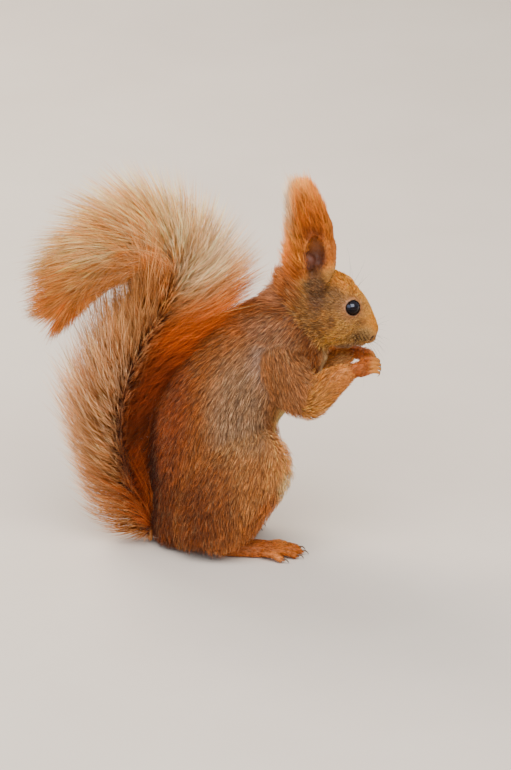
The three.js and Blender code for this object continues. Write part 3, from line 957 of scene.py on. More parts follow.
def rootsOnSkin():
    # places spread over the skin, as many as each sort of coat asks for
    corners = skinPoints[skinTris]
    area = np.linalg.norm(np.cross(corners[:, 1] - corners[:, 0], corners[:, 2] - corners[:, 0]), axis=1) / 2
    middle = corners.mean(axis=1)
    region = regionAt(middle)
    kinds = regionKinds[region]
    dense = np.array([coat[k]["dense"] if k in coat else 0 for k in regionKinds])[region]
    p = middle.copy()
    p[:, 1] = np.abs(p[:, 1])
    dense = dense * (1 + 1.6 * smoothstep(92, 104, p[:, 0]) * (region == regionNames.index("head")))
    dense = np.where(kinds == "hand", dense * (1 - 0.92 * smoothstep(99, 104, p[:, 0])), dense)
    eyeAt, eyeRadius = eyeBall("left")
    fromEye = np.linalg.norm(p - eyeAt, axis=1) / eyeRadius
    dense = np.where(fromEye < coat["eyeClear"], 0, dense)
    hollow = farness(p, earHollow["at"], earHollow["size"])
    dense = np.where((kinds == "ear") & (hollow < 0.86), dense * 0.15, dense)
    nosePad = farness(p, *face["nosePad"])
    slit = np.array([(x, onMuzzle(fine, skinField, x, z), z) for x, z in face["nostril"]])
    toSlit = np.linalg.norm(p[:, None] - slit[None], axis=2).min(axis=1)
    dense = np.where((nosePad < 1) | (toSlit < 1.1), 0, dense)
    lips, _ = alongPath(face["mouth"], 24)
    nearHead = np.nonzero(p[:, 0] > 86)[0]
    toLips = np.linalg.norm(p[nearHead][:, None] - lips[None], axis=2).min(axis=1)
    dense[nearHead[toLips < 0.8]] = 0
    soles = (middle[:, 2] < 1.0) & (kinds == "foot")
    dense = np.where(soles | (middle[:, 2] < 0.6), 0, dense)
    wanted = dense * area
    wanted *= min(1.0, coat["mostHairs"] / wanted.sum())
    total = np.cumsum(wanted)
    marks = np.arange(int(total[-1])) + rng.random(int(total[-1]))
    chosen = np.minimum(np.searchsorted(total, marks), len(total) - 1)
    a, b = rng.random((2, len(chosen), 1))
    a, b = np.where(a + b > 1, 1 - a, a), np.where(a + b > 1, 1 - b, b)
    t = corners[chosen]
    places = t[:, 0] + (t[:, 1] - t[:, 0]) * a + (t[:, 2] - t[:, 0]) * b
    for i, name in enumerate(regionNames):
        print("  ", name, int(area[region == i].sum()), "mm2,", int((region[chosen] == i).sum()), "hairs")
    return places, region[chosen]


def roomForEarHair(p, way, isLeft):
    # how far a hair can run from each place before it passes the edges of the ear's long hair
    s = earHair
    backZ, backX = zip(*s["back"])
    frontZ, frontX = zip(*s["front"])
    room = np.full(len(p), float(s["longest"]))
    low = np.where(isLeft, np.interp(p[:, 2], *zip(*s["leftLower"])), 0)
    for far in np.arange(s["longest"], 0, -s["step"]):
        x, z = p[:, 0] + way[:, 0] * far, p[:, 2] + way[:, 2] * far + low
        past = (x < np.interp(z, backZ, backX)) | (x > np.interp(z, frontZ, frontX)) | (z > backZ[-1])
        room = np.where(past, far - s["step"] / 2, room)
    return room


def bodyHairs():
    places, regions = rootsOnSkin()
    normals = fine.slope(skinField, places)
    kinds = regionKinds[regions]

    def per(key):
        return np.array([coat[k][key] if k in coat else 0 for k in regionKinds])[regions]

    x, y, z = places.T
    p = onLeftSide(places, regions)
    depth = coatDepth(x, y, z)
    depth = np.where(kinds == "foot", skinShape["footDepth"], np.where(kinds == "hand", 0.8, depth))
    # where a ridge of the outline stands further off the skin, the hair is that much longer
    room = np.clip(-coarse.read(body, places), 0.3, 12)
    isEar = kinds == "ear"
    length = depth * per("ratio") + per("more") + np.clip(room - depth, 0, 8) * 1.3 * (per("hug") == 1.0)
    depth = np.where(per("hug") == 1.0, np.clip(depth + (room - depth) * 0.7, depth * 0.8, depth + 7), depth)
    # the ear: short on its face and in front, long at its back edge and above the hollow
    earBack = 1 - smoothstep(59, 67, x)
    earLong = 3.6 + 12 * earBack * smoothstep(168, 182, z) + 19 * smoothstep(198, 212, z)
    hollow = farness(p, earHollow["at"], earHollow["size"])
    length = np.where(isEar, earLong * (1 - 0.75 * (1 - smoothstep(0.95, 1.2, hollow))), length)
    way = lieAt(places, normals, regions)
    leader = tufts(places, coat["clumpOf"])
    loose = np.where(np.isin(kinds, ["head", "neck"]), 0.055, 0.09)[:, None]
    way = unit(way + loose * rng.normal(size=way.shape) + loose * rng.normal(size=way.shape)[leader])
    length = length * rng.uniform(0.72, 1.12, len(length)) * rng.uniform(0.85, 1.12, len(length))[leader]
    ruff = cover(p, *lie["ruff"]) * np.isin(kinds, ["head", "neck"])
    room = roomForEarHair(p, unit(way + normals * (0.08 + 0.3 * ruff)[:, None]), y > 0) * (1 - 0.25 * ruff)
    length = length + ruff * (np.minimum(room, 15) * rng.uniform(0.4, 1.0, len(length)) - length * 0.8)
    length = np.where(isEar | (ruff > 0.2), np.minimum(length, room * rng.uniform(0.5, 1.2, len(length))),
                      length)
    length = np.maximum(length, 1.2)
    length = np.where(kinds == "hand", length * (1 - 0.5 * smoothstep(100, 105, x)), length)
    stray = rng.random(len(length)) < coat["stray"]
    top = depth * np.where(stray, rng.uniform(1.0, 1.35, len(length)), rng.uniform(0.45, 1.02, len(length)))
    top = top + ruff * length * 0.12
    top = np.minimum(top, length * 0.6)
    top = np.where(isEar, length * rng.uniform(0.05, 0.3, len(length)) * (1 - 0.5 * smoothstep(198, 212, z)),
                   top)

    steps = (0.0, 0.58, 1.0)
    lift = (0.0, 0.78, 1.0)
    paths = np.empty((len(places), len(steps), 3))
    paths[:, 0] = places - normals * 0.25
    hug = (per("hug") * (1 - ruff))[:, None]
    spot, ahead, normal = places.astype(float), way, normals
    for k in range(1, len(steps)):
        run = (length * (steps[k] - steps[k - 1]))[:, None]
        rise = (top * (lift[k] - lift[k - 1]))[:, None]
        flat = np.sqrt(np.maximum(run ** 2 - rise ** 2, 0))
        spot = spot + ahead * flat + normal * rise
        away = fine.read(skinField, spot)[:, None]
        slope = fine.slope(skinField, spot)
        spot = spot + slope * np.clip((top * lift[k])[:, None] - away, -6, 6) * hug
        normal = unit(normal * (1 - hug) + slope * hug)
        ahead = unit(ahead - normal * np.sum(ahead * normal, axis=1, keepdims=True) * hug)
        paths[:, k] = spot
    # hairs of one tuft draw together towards their ends
    clump = per("clump")
    for k in range(1, len(steps)):
        pull = (clump * steps[k] ** 1.5 * rng.uniform(0.5, 1.2, len(clump)))[:, None]
        target = paths[leader, k] + (places - places[leader]) * 0.15
        jump = target - paths[:, k]
        close = np.linalg.norm(jump, axis=1, keepdims=True) < 7
        paths[:, k] += jump * pull * close
    # nothing goes under the floor
    paths[:, :, 2] = np.maximum(paths[:, :, 2], 0.4)

    tone = toneAt(places + way * length[:, None] * 0.35, regions)
    darkShare, paleShare = (np.full(len(p), v) for v in markings["commonTicking"])
    for at, size, darkest, palest in markings["ticking"]:
        here = cover(p, at, size)
        darkShare, paleShare = np.maximum(darkShare, darkest * here), np.maximum(paleShare, palest * here)
    darkShare, paleShare = np.where(isEar, 0.04, darkShare), np.where(isEar, 0.04, paleShare)
    short = np.isin(kinds, ["head", "hand", "foot", "ear"])
    shade = (rng.normal(1.0, np.where(isEar, 0.09, np.where(short, 0.19, 0.13)))
             * rng.normal(1.0, 0.05, len(p))[leader])
    warm = rng.normal(0, 0.03, len(p))[leader]
    tone = tone * np.clip(shade, 0.6, 1.4)[:, None] + warm[:, None] * np.array([0.4, -0.1, -0.5])
    # some of the hairs share the ticking of their tuft
    pick = rng.random(len(p))
    pick = np.where(rng.random(len(p)) < 0.3, pick[leader], pick)
    dark = (pick < darkShare)[:, None]
    pale = (pick > 1 - paleShare)[:, None]
    straw, soot = srgb(markings["straw"]), srgb(markings["soot"])
    tip = np.where(dark, tone * 0.3 + soot * 0.7, np.where(pale, tone * 0.35 + straw * 0.65, tone * 1.1))
    middle = np.where(dark, tone * 0.75 + soot * 0.25, np.where(pale, tone * 0.85 + straw * 0.15, tone))
    tones = np.stack([tone * 0.78, middle, tip], axis=1)
    at, size, slant, apart = markings["pad"]
    pad = (kinds == "head") & (cover(p, at, size) > 0)
    spot = paths[pad] * np.array((1, 0, 1)) + np.array((0, at[1], 0))
    streak = smoothstep(-0.1, 0.7, np.sin(2 * math.pi * (spot[:, :, 0] + slant * spot[:, :, 2]) / apart))
    tones[pad] *= 1 - 0.88 * (streak * cover(p[pad], at, size)[:, None])[:, :, None]
    half = per("half") * rng.uniform(0.75, 1.2, len(p))
    half = half * np.where(kinds == "head", 1 - 0.3 * smoothstep(90, 104, x), 1) * (1 - 0.25 * ruff)
    half = np.stack([half * 0.9, half * 0.85], axis=1)
    return places, regions, kinds, paths, half, tones


coatPieces = {
    # pieces of the coat, the sorts of region in each and the line that its unwrap turns about
    "coatTrunk": {"kinds": ["trunk"],
                  "axis": [(9, 0, -4), (9, 0, 36), (12, 0, 66), (20, 0, 92), (37, 0, 118), (70, 0, 155)]},
    "coatNeck": {"kinds": ["neck"], "axis": [(30, 0, 120), (60, 0, 150), (76, 0, 166)]},
    "coatHead": {"kinds": ["head"], "axis": [(56, 0, 152), (72, 0, 152), (92, 0, 145), (110, 0, 134)]},
    "coatEar": {"kinds": ["ear"], "axis": [(66, 12, 160), (67, 16, 190), (64, 17, 226)]},
    "coatArm": {"kinds": ["upper_arm"], "axis": [(42, 12, 140), (50, 18, 124), (61, 25, 90)]},
    "coatForearm": {"kinds": ["forearm"], "axis": [(52, 25, 90), (67, 22, 100), (96, 13, 119)]},
    "coatHand": {"kinds": ["hand"], "axis": [(88, 14, 117), (102, 10, 119), (112, 8, 118)]},
    "coatThigh": {"kinds": ["thigh"], "axis": [(10, 22, 0), (23, 25, 40), (34, 25, 60), (48, 24, 92)]},
    "coatShank": {"kinds": ["shank"], "axis": [(10, 22, 0), (30, 22, 20), (44, 22, 44)]},
    "coatFoot": {"kinds": ["foot"], "axis": [(0, 20, 3), (40, 20, 3), (70, 24, 2)]},
}


def unwrap(places, regions, axis):
    # angle about a line and way along it
    p = onLeftSide(places, regions)
    p[:, 1] = places[:, 1] if axis[0][1] == 0 else p[:, 1]
    spot, ahead = alongPath(axis, 60)
    near = np.linalg.norm(p[:, None] - spot[None], axis=2).argmin(axis=1)
    offset = p - spot[near]
    along = near + np.sum(offset * ahead[near], axis=1) / np.linalg.norm(spot[1] - spot[0])
    back = unit(np.cross(np.array([0.0, 1, 0]), ahead[near]))
    angle = np.arctan2(offset[:, 1], np.sum(offset * back, axis=1))
    return np.column_stack([angle, along])


def coatMaterial(name, gloss):
    t = Tree(name)
    tone = t.add("ShaderNodeAttribute", {"attribute_name": "fur"}).outputs["Color"]
    drift = t.span(t.noise(70, 3.0), 0.3, 0.7, 0.88, 1.1)
    streak = t.span(t.noise(520, 3.0, 0.6), 0.3, 0.7, 0.84, 1.14)
    light = t.math("MULTIPLY", drift, streak)
    tone = t.mix(1.0, tone, t.add("ShaderNodeCombineColor", Red=light, Green=light, Blue=light).outputs[0],
                 "MULTIPLY")
    rough = t.span(t.noise(260, 2.0), 0.3, 0.7, 0.5, 0.72)
    return t.finish(Base_Color=tone, Roughness=rough, Specular_IOR_Level=gloss, Sheen_Weight=0.03,
                    Sheen_Roughness=0.4)


def clad(pieces):
    for piece in pieces:
        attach(piece, "root")


furMaterial = coatMaterial("bodyFur", 0.18)


def makeBodyCoat():
    places, regions, kinds, paths, half, tones = bodyHairs()
    for name, s in coatPieces.items():
        paired = name not in ("coatNeck", "coatHead")
        for side, sign in (sides.items() if paired else [("", 0)]):
            rows = np.isin(kinds, s["kinds"])
            if sign:
                rows &= places[:, 1] * sign >= 0
            spots = unwrap(places[rows], regions[rows], s["axis"])
            clad(growHairs(name + side.capitalize(), paths[rows], half[rows], tones[rows], spots,
                           furMaterial))
    print("body coat", len(places), "hairs")


makeBodyCoat()


# tail
plumeCoat = {
    "hairs": 35000, "half": 0.132, "reach": 66, "stride": 2.0, "marks": 600, "lean": (20, 62),
    "clumpOf": 5, "clump": 0.22,
    "deep": (84, 25, 4), "red": (130, 47, 8), "flame": (204, 90, 18), "rust": (208, 142, 76),
    "golden": (255, 193, 106), "tan": (250, 214, 158), "straw": (255, 225, 176), "pink": (255, 209, 168),
    "orange": (226, 130, 44), "soot": (116, 98, 80),
    "roll": (188, 118, 56), "fan": (214, 168, 118),
}


def tailHairs():
    s = plumeCoat
    spots, aheads = alongPath(tailCore["path"], s["marks"])
    share = np.linspace(0, 1, s["marks"])
    # more hairs where the plume is wide, down to the seat
    weight = 0.5 + smoothstep(0.05, 0.25, share) + 0.5 * smoothstep(0.4, 0.7, share)
    weight = np.cumsum(weight) / weight.sum()
    t = np.interp((np.arange(s["hairs"]) + rng.random(s["hairs"])) / s["hairs"], weight, share)
    t = np.clip(t, 0.06, 1)
    place = np.stack([np.interp(t, share, spots[:, k]) for k in range(3)], axis=1)
    ahead = unit(np.stack([np.interp(t, share, aheads[:, k]) for k in range(3)], axis=1))
    across = np.tile(np.array([0.0, 1, 0]), (len(t), 1))
    outer = unit(np.cross(across, ahead))
    angle = rng.uniform(0, 2 * math.pi, len(t))
    # the hairs part to either side of the tail, so fewer stand straight out from its broad faces
    angle = angle - 0.28 * np.sin(2 * angle)
    radial = np.cos(angle)[:, None] * outer + np.sin(angle)[:, None] * across
    radius = np.interp(t, [0, 1], [tailCore["rootRadius"], tailCore["tipRadius"]])
    root = place + radial * radius[:, None] * 0.8
    endShare = smoothstep(0.93, 1.0, t)[:, None]
    lean0 = np.radians(s["lean"][0]) + endShare[:, 0] * 0.9 + rng.normal(0, 0.1, len(t))
    lean1 = np.radians(s["lean"][1]) + rng.normal(0, 0.12, len(t))
    # beside the back the hairs run on into its coat, and under the arch they fan out further
    facing = np.cos(angle)
    slack = ((3.5 + 6 * smoothstep(0.34, 0.42, t) * rng.random(len(t)))
             * smoothstep(0.0, 0.6, facing) * (1 - smoothstep(0.52, 0.62, t)))
    slack = slack + (9 * smoothstep(0.2, 0.8, -facing) * smoothstep(0.28, 0.4, t)
                     * (1 - smoothstep(0.52, 0.62, t)) * rng.random(len(t)))
    marks = np.arange(0, s["reach"] + 0.1, s["stride"])
    line = [root]
    spot = root
    length = np.full(len(t), marks[-1])
    isInside = np.ones(len(t), dtype=bool)
    for k in range(1, len(marks)):
        a = (lean0 + (lean1 - lean0) * min(1.0, marks[k] / 34))[:, None]
        step = radial * np.cos(a) + ahead * np.sin(a)
        spot = spot + unit(step) * s["stride"]
        line.append(spot)
        out = coarse.read(plume, spot) > slack
        length = np.where(isInside & out, marks[k], length)
        isInside &= ~out
    line = np.stack(line, axis=1)
    # towards the tip of the tail the hairs run along it, so a long one would reach far past its outline
    longest = 1.14 - 0.08 * smoothstep(0.84, 0.94, t)
    under = rng.random(len(t)) < 0.32
    length = length * np.where(under, rng.uniform(0.4, 0.88, len(t)),
                               0.88 + (longest - 0.88) * rng.random(len(t)))
    length = np.maximum(length, 5)
    steps = np.array([0, 0.34, 0.68, 1.0])

    def at(distance):
        i = np.clip(distance / s["stride"], 0, len(marks) - 1.001)
        low = i.astype(int)
        f = (i - low)[:, None]
        rows = np.arange(len(t))
        return line[rows, low] * (1 - f) + line[rows, low + 1] * f

    paths = np.stack([at(length * k) for k in steps], axis=1)
    wobble = rng.normal(0, 1, (len(t), 3))
    for k in range(1, 4):
        paths[:, k] += wobble * (length * steps[k] ** 1.6 * 0.05)[:, None]
    leader = tufts(paths[:, 2], s["clumpOf"])
    for k in range(1, 4):
        jump = paths[leader, k] - paths[:, k]
        near = np.linalg.norm(jump, axis=1, keepdims=True) < 9
        paths[:, k] += jump * near * (s["clump"] * steps[k] ** 1.4 * rng.uniform(0.4, 1.1, (len(t), 1)))
    # kept off the back and out of the ground
    for k in range(1, 4):
        inside = np.minimum(fine.read(skinField, paths[:, k]) - 2.5, 0)
        paths[:, k] -= fine.slope(skinField, paths[:, k]) * np.clip(inside, -10, 0)[:, None]
    paths[:, :, 2] = np.maximum(paths[:, :, 2], 0.5)

    # colours by place: outer or inner side of the bend, stem, arch or tip
    tone = {k: srgb(v) for k, v in s.items() if isinstance(v, tuple) and len(v) == 3}

    def between(a, b, c=None, d=None):
        return (smoothstep(a, b, t) if c is None else hill(a, b, c, d, t))[:, None]

    outside = smoothstep(-0.35, 0.45, np.cos(angle))[:, None]
    inside = 1 - outside
    stem = 1 - between(0.46, 0.58)
    low = 1 - between(0.05, 0.22)
    tipward = between(0.82, 0.97)
    lot = rng.random((len(t), 1))
    lot = np.where(rng.random((len(t), 1)) < 0.5, lot, lot[leader])
    # the stem: deep red beside the back, its hair ends there darkened low down as painted shadow in the gap
    # against the back, bright orange where it rises past the shoulder, pale behind
    rootOut = mix(tone["flame"] * 1.1, tone["flame"] * 0.74, between(0.22, 0.29))
    middleOut = mix(mix(tone["flame"] * 1.04, tone["flame"] * 0.74, between(0.22, 0.29)), tone["flame"],
                    between(0.38, 0.48))
    # painted shadow: the ends of the hairs facing the back turn deep red low on the stem, where they lie in
    # the gap
    endOut = mix(mix(tone["red"] * 1.05, tone["deep"] * 0.62, between(0.12, 0.17, 0.25, 0.31)),
                 tone["flame"], between(0.36, 0.45))
    rootTone = mix(tone["rust"] * 0.8, rootOut, outside)
    warmer = between(0.12, 0.2, 0.4, 0.46)
    middle = mix(mix(tone["rust"], tone["roll"] * 1.08, warmer * 0.75), middleOut, outside)
    end = mix(mix(tone["pink"], tone["rust"], warmer * (lot < 0.45) * 0.4), endOut, outside)
    end = mix(end, tone["rust"], (1 - between(0.12, 0.34)) * inside * 0.55)
    end = mix(end, tone["rust"] * 0.95, between(0.38, 0.44) * inside * 0.7)
    # the arch: tan and cream above, with golden patches towards the tip, an orange roll along its underside
    patch = 0.5 + 0.5 * np.sin(t * 55 + 1.7 * np.sin(3 * angle) + 4 * np.sin(t * 9))[:, None]
    gold = between(0.64, 0.76) * (0.45 + 0.5 * patch)
    above = mix(tone["tan"], tone["golden"], gold)
    rootTone = mix(mix(tone["tan"] * 0.94, tone["roll"] * 0.92, inside), rootTone, stem)
    middle = mix(mix(above, tone["roll"], inside), middle, stem)
    end = mix(mix(mix(tone["straw"], tone["golden"], gold * 0.7), tone["roll"] * 1.15, inside), end, stem)
    end = mix(end, tone["golden"], tipward * 0.8)
    middle = mix(middle, tone["orange"], tipward * 0.7)
    rootTone = mix(rootTone, tone["deep"], low * 0.35)
    middle = mix(middle, tone["flame"] * 0.85, low * 0.6)
    end = mix(end, tone["rust"], low * 0.5)
    # where the stem turns into the arch, orange locks fan out over the back, then a paler parting
    fan = between(0.45, 0.5, 0.57, 0.61) * outside
    parting = between(0.575, 0.6, 0.62, 0.65) * outside
    orangeLock = (lot < 0.22 + 0.54 * fan) * (1 - stem * (1 - fan))
    end = mix(end, tone["orange"], orangeLock * 0.7)
    middle = mix(middle, tone["orange"], orangeLock * 0.65)
    dull = between(0.5, 0.56, 0.64, 0.7) * outside
    end = mix(end, tone["fan"] * 1.1, dull * 0.5)
    middle = mix(middle, tone["fan"], dull * 0.5)
    hot = between(0.42, 0.47, 0.53, 0.58) * outside
    end, middle = mix(end, tone["flame"], hot * 0.55), mix(middle, tone["flame"], hot * 0.55)
    end = mix(end, tone["pink"], parting * 0.6)
    middle = mix(middle, tone["straw"], parting * 0.5)
    pinkLock = (lot > 0.76) * (1 - stem)
    end = mix(end, tone["pink"], pinkLock * 0.6)
    sootLock = ((lot > 0.52) & (lot < 0.61)) * 1.0
    flat = np.abs(np.sin(angle))[:, None]
    rootTone = mix(rootTone, tone["soot"], sootLock * 0.8)
    middle = mix(middle, tone["soot"], sootLock * 0.45 * smoothstep(0.3, 0.8, flat))
    # the dark roots show along the core in patches
    hidden = 0.5 + 0.5 * np.sin(t * 41 + 2.5 * np.sin(t * 13) + 0.8 * np.sin(t * 97))[:, None]
    rootTone = mix(rootTone, middle, hidden * 0.7)
    end, middle = (mix(v, v * np.array([0.94, 0.82, 0.66]), tipward) for v in (end, middle))
    shade = (rng.normal(1, 0.06, (len(t), 1)) * rng.normal(1, 0.09, (len(t), 1))[leader]).clip(0.65, 1.35)
    tones = np.stack([rootTone * 0.9, mix(rootTone, middle, 0.65), mix(middle, end, 0.6), end],
                     axis=1) * shade[:, None]
    half = s["half"] * rng.uniform(0.75, 1.25, len(t))
    half = np.stack([half, half, half * 0.75], axis=1)
    uv = np.column_stack([angle % (2 * math.pi), t])
    return paths, half, tones, uv


tailMaterial = coatMaterial("tailFur", 0.15)
tailPaths, tailHalf, tailTones, tailSpots = tailHairs()
clad(growHairs("coatTail", tailPaths, tailHalf, tailTones, tailSpots, tailMaterial))
print("tail coat", len(tailPaths), "hairs")


# the skin's colours, with painted shade where long hair covers it
def paintSkin():
    points = readArray(skin.data.vertices, "co", np.float32, 3) / mm
    bodyPoints = points[:skinBodyCount]
    regions = regionAt(bodyPoints)
    tone = toneAt(bodyPoints, regions)
    x, y, z = bodyPoints.T
    bare = 1 - smoothstep(0.4, 2.5, coatDepth(x, y, z))
    fineParts = np.isin(regionKinds[regions], ["hand", "foot", "ear"])
    bare = np.where(fineParts, 0.8, bare)
    # painted shade under the coat: the skin darker where the coat over it is deep
    tone = tone * (markings["shadeUnderHair"] + (1 - markings["shadeUnderHair"]) * bare)[:, None]
    p = onLeftSide(bodyPoints, regions)

    def dab(place, size, colour, share=1.0):
        nonlocal tone
        tone = mix(tone, srgb(colour), (share * cover(p, place, size))[:, None])

    m = markings
    hollow = earHollow
    # the hollow darkened with painted shade, its lobes and rim in their skin colours
    for at, size in ((hollow["at"], np.array(hollow["size"]) * 0.98), (hollow["lower"][0], (6.4, 7, 8))):
        dab(at, size, hollow["dark"])
    for at, size in hollow["lobes"]:
        dab(at, np.array(size) * 1.05, hollow["lobe"], 0.9)
    dab((62.4, 19, 190), (1.6, 4, 7), hollow["rim"], 0.7)
    dab((105.2, 1.8, 134.8), (2.2, 4.2, 2.2), m["noseColour"], 0.5)
    for x, z in face["nostril"]:
        dab((x, onMuzzle(fine, skinField, x, z) - 0.6, z), (1.0, 1.4, 0.85), m["nostrilColour"])
    for spot in alongPath(face["mouth"], 14)[0]:
        dab(spot, (1.6, 1.4, 1.1), m["lipColour"], 0.7)
    centre, radius = eyeBall("left")
    out = unit(np.array(face["eyeOut"]))
    off = p - centre
    ahead = off @ out
    away = np.sqrt(np.maximum(np.sum(off ** 2, axis=1) - ahead ** 2, 0)) / radius
    near = np.linalg.norm(off, axis=1) < radius * 1.8
    halo = hill(0.95, 1.02, 1.12, 1.35, away) * near
    tone = mix(tone, srgb(m["haloColour"]), (halo * 0.45)[:, None])
    rim = (1 - smoothstep(0.92, 0.98, away)) * near
    tone = mix(tone, srgb(m["lidColour"]), rim[:, None])
    tail = np.tile(srgb(m["underTail"]), (len(points) - skinBodyCount, 1))
    paint(skin, linearOf(np.vstack([tone, tail])))


paintSkin()
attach(skin, "root")
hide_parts(*fleshNames)

# eyes
# sky: the tint of the eyes' painted sky reflection
eyeShape = {"shrink": 0.12, "cornea": 0.35, "around": 48, "rings": 32, "iris": (30, 18, 12),
            "ball": (8, 6, 6), "paintedSkyTint": (206, 222, 255)}


def eyeMaterial():
    t = Tree("eyeGloss")
    speck = t.span(t.noise(700, 3.0), 0.35, 0.65)
    tone = t.mix(speck, rgba(eyeShape["ball"]), rgba(eyeShape["iris"]))
    # painted reflection: the ball mirrors more strongly above, with a sky-blue tint, as if a sky lay
    # overhead
    normal = t.add("ShaderNodeNewGeometry").outputs["Normal"]
    paintedSkyShine = t.span(t.add("ShaderNodeSeparateXYZ", Vector=normal).outputs["Z"], 0.0, 0.5, 0.1, 0.9)
    rough = t.span(t.noise(300, 2.0), 0.3, 0.7, 0.04, 0.09)
    return t.finish(Base_Color=tone, Roughness=rough, Specular_IOR_Level=paintedSkyShine,
                    Specular_Tint=rgba(eyeShape["paintedSkyTint"]))


def makeEyes():
    material = eyeMaterial()
    s = eyeShape
    for side, sign in sides.items():
        centre, radius = eyeBall(side)
        radius -= s["shrink"]
        out = unit(np.array(mirror(face["eyeOut"], sign)))
        turn = np.linspace(0, 2 * math.pi, s["around"], endpoint=False)
        rise = np.linspace(0, math.pi, s["rings"] + 1)[1:-1]
        a = unit(np.cross(out, [0, 0, 1.0]))
        b = np.cross(out, a)
        ring = np.cos(turn)[None, :, None] * a + np.sin(turn)[None, :, None] * b
        way = np.cos(rise)[:, None, None] * out + np.sin(rise)[:, None, None] * ring
        bulge = radius + s["cornea"] * smoothstep(0.72, 1.0, np.cos(rise))
        ball = (centre + way * bulge[:, None, None]).reshape(-1, 3)
        ball = np.vstack([ball, centre + out * (radius + s["cornea"]), centre - out * radius])
        n, m = s["around"], s["rings"] - 1
        tris = []
        for i in range(m - 1):
            for k in range(n):
                p, q = i * n + k, i * n + (k + 1) % n
                tris += [(p, p + n, q + n), (p, q + n, q)]
        tris += [(len(ball) - 2, k, (k + 1) % n) for k in range(n)]
        tris += [(len(ball) - 1, (m - 1) * n + (k + 1) % n, (m - 1) * n + k) for k in range(n)]
        eye = meshFrom(f"eyeball{side.capitalize()}", ball, tris, material)
        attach(eye, "root")
        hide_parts(f"eye_{side}")


makeEyes()
print("eyes made")

# whiskers, drawn as lines and turned into tapered hairs by Geometry Nodes
whiskers = {"rows": 4, "perRow": 4, "firstAt": (103.5, 5.0, 138.5), "back": 2.4, "down": 2.0,
            "long": (26, 44), "thick": 0.08,
            "brow": [((93.5, 8.6, 166), (0.55, 0.5, 1.0), 25), ((91, 9.4, 166.5), (0.25, 0.5, 1.0), 29),
                     ((95.5, 8, 164.5), (0.9, 0.6, 0.8), 19)]}


def whiskerLines():
    s = whiskers
    points, edges = [], []

    def hair(root, way, long, sign):
        root = root - fine.slope(skinField, root[None])[0] * (fine.read(skinField, root[None])[0] + 0.3)
        way = unit(np.array(way) + rng.normal(0, 0.07, 3))
        for i in range(9):
            share = i / 8
            drop = np.array([-0.20, -0.12, -0.16]) * long * share ** 2
            points.append(mirror(root + way * long * share + drop, sign))
            if i:
                edges.append((len(points) - 2, len(points) - 1))

    for sign in sides.values():
        for row in range(s["rows"]):
            for k in range(s["perRow"]):
                root = np.array(s["firstAt"]) + (
                    -s["back"] * k - 0.5 * row, 0.75 * k + 0.35 * row, -s["down"] * row + 0.5 * k)
                way = (0.95 - 0.3 * k, 0.75, 0.3 - 0.34 * row)
                hair(root, way, rng.uniform(*s["long"]) * (0.62 + 0.13 * k), sign)
        for root, way, long in s["brow"]:
            hair(np.array(root), way, long, sign)
    mesh = bpy.data.meshes.new("whiskers")
    mesh.from_pydata([tuple(np.array(p) * mm) for p in points], edges, [])
    obj = bpy.data.objects.new("whiskers", mesh)
    scene.collection.objects.link(obj)
    return obj


def whiskerTree(material):
    group = bpy.data.node_groups.new("hairFromLine", "GeometryNodeTree")
    group.interface.new_socket("Geometry", in_out="INPUT", socket_type="NodeSocketGeometry")
    thick = group.interface.new_socket("Half width", in_out="INPUT", socket_type="NodeSocketFloat")
    group.interface.new_socket("Geometry", in_out="OUTPUT", socket_type="NodeSocketGeometry")
    nodes, links = group.nodes, group.links
    start, end = nodes.new("NodeGroupInput"), nodes.new("NodeGroupOutput")
    curve = nodes.new("GeometryNodeMeshToCurve")
    along = nodes.new("GeometryNodeSplineParameter")
    taper = nodes.new("ShaderNodeMapRange")
    taper.inputs[3].default_value = 1.0
    taper.inputs[4].default_value = 0.12
    radius = nodes.new("GeometryNodeSetCurveRadius")
    profile = nodes.new("GeometryNodeCurvePrimitiveCircle")
    profile.inputs["Resolution"].default_value = 5
    sweep = nodes.new("GeometryNodeCurveToMesh")
    sweep.inputs["Fill Caps"].default_value = True
    smooth = nodes.new("GeometryNodeSetShadeSmooth")
    real = nodes.new("GeometryNodeRealizeInstances")
    finish = nodes.new("GeometryNodeSetMaterial")
    finish.inputs["Material"].default_value = material
    links.new(start.outputs[0], curve.inputs[0])
    links.new(along.outputs["Factor"], taper.inputs[0])
    links.new(curve.outputs[0], radius.inputs["Curve"])
    links.new(taper.outputs[0], radius.inputs["Radius"])
    links.new(start.outputs["Half width"], profile.inputs["Radius"])
    links.new(radius.outputs[0], sweep.inputs["Curve"])
    links.new(profile.outputs[0], sweep.inputs["Profile Curve"])
    links.new(taper.outputs[0], sweep.inputs["Scale"])
    links.new(sweep.outputs[0], smooth.inputs[0])
    links.new(smooth.outputs[0], real.inputs[0])
    links.new(real.outputs[0], finish.inputs["Geometry"])
    links.new(finish.outputs[0], end.inputs[0])
    return group, thick.identifier


def whiskerMaterial():
    t = Tree("whiskerHair")
    tone = t.mix(t.span(t.noise(400), 0.3, 0.7), rgba((30, 20, 16)), rgba((74, 52, 40)))
    return t.finish(Base_Color=tone, Roughness=t.span(t.noise(200), 0.3, 0.7, 0.35, 0.5))


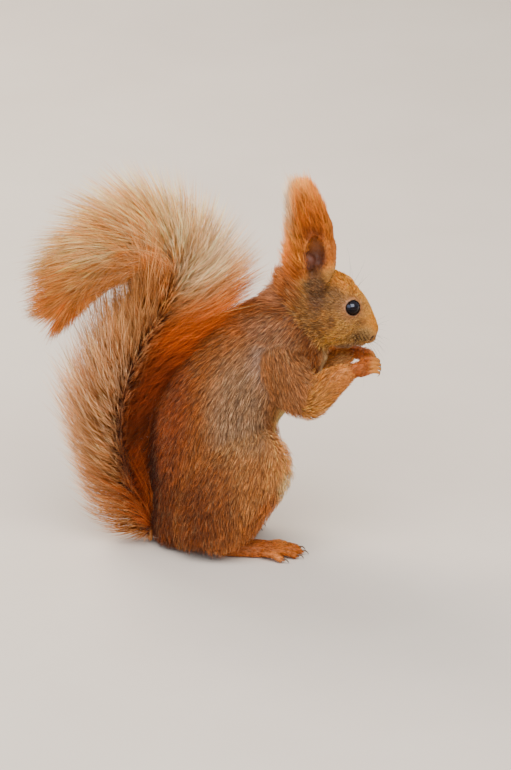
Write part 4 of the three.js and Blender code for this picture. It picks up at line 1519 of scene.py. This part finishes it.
def makeWhiskers():
    material = whiskerMaterial()
    lines = whiskerLines()
    group, thick = whiskerTree(material)
    grow = lines.modifiers.new("grow", "NODES")
    grow.node_group = group
    grow[thick] = whiskers["thick"] * mm
    mesh = bpy.data.meshes.new_from_object(lines.evaluated_get(bpy.context.evaluated_depsgraph_get()))
    lines.modifiers.clear()
    lines.data = mesh
    if not mesh.materials:
        mesh.materials.append(material)
    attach(lines, "root")
    print("whiskers", len(mesh.polygons), "faces")


makeWhiskers()

# claws
clawShape = {
    "toes": [(-6.4, -4, 41, 13), (-3.4, -2, 44, 17), (0, 0.8, 45, 18), (3.6, 3.6, 44, 16), (6.6, 7, 39, 12)],
    "middle": 20.5, "footBack": {"right": 0, "left": 26}, "radius": {"foot": 0.62, "hand": 0.45},
    "rings": 9, "around": 8,
}


def clawMaterial():
    t = Tree("clawHorn")
    grain = t.span(t.noise(900, 3.0), 0.3, 0.7)
    tone = t.mix(grain, rgba((64, 44, 32)), rgba((116, 86, 62)))
    return t.finish(Base_Color=tone, Roughness=t.span(t.noise(500), 0.3, 0.7, 0.28, 0.45))


def makeClaws():
    material = clawMaterial()
    s = clawShape
    for side, sign in sides.items():
        rows = {"foot": [], "hand": []}
        for out, fan, start, long in s["toes"]:
            x, y = start + long - s["footBack"][side], s["middle"] + out
            rows["foot"].append([(x - 1.6, y + fan, 2.6), (x + 0.6, y + fan * 1.06, 2.9),
                                 (x + 2.2, y + fan * 1.14, 1.9), (x + 3.0, y + fan * 1.2, 0.5)])
        for joints in fingerJoints(sign):
            tip = np.array(mirror(joints[-1], sign))
            rows["hand"].append([tip + (0.3, 0.1, 0.8), tip + (0.5, -0.2, -0.6),
                                 tip + (-0.1, -0.3, -1.9), tip + (-1.0, -0.4, -2.7)])
        for limb, paths in rows.items():
            points, tris = [], []
            for path in paths:
                path = [mirror(p, sign) for p in path]
                radii = s["radius"][limb] * np.linspace(1, 0.06, s["rings"]) ** 0.7
                ps, ts = tube(alongPath(path, s["rings"]), radii, s["around"])
                tris.append(ts + sum(len(p) for p in points))
                points.append(ps)
            claws = meshFrom(f"claws{limb.capitalize()}{side.capitalize()}", np.vstack(points),
                             np.vstack(tris), material)
            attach(claws, "root")


makeClaws()
print("claws made")
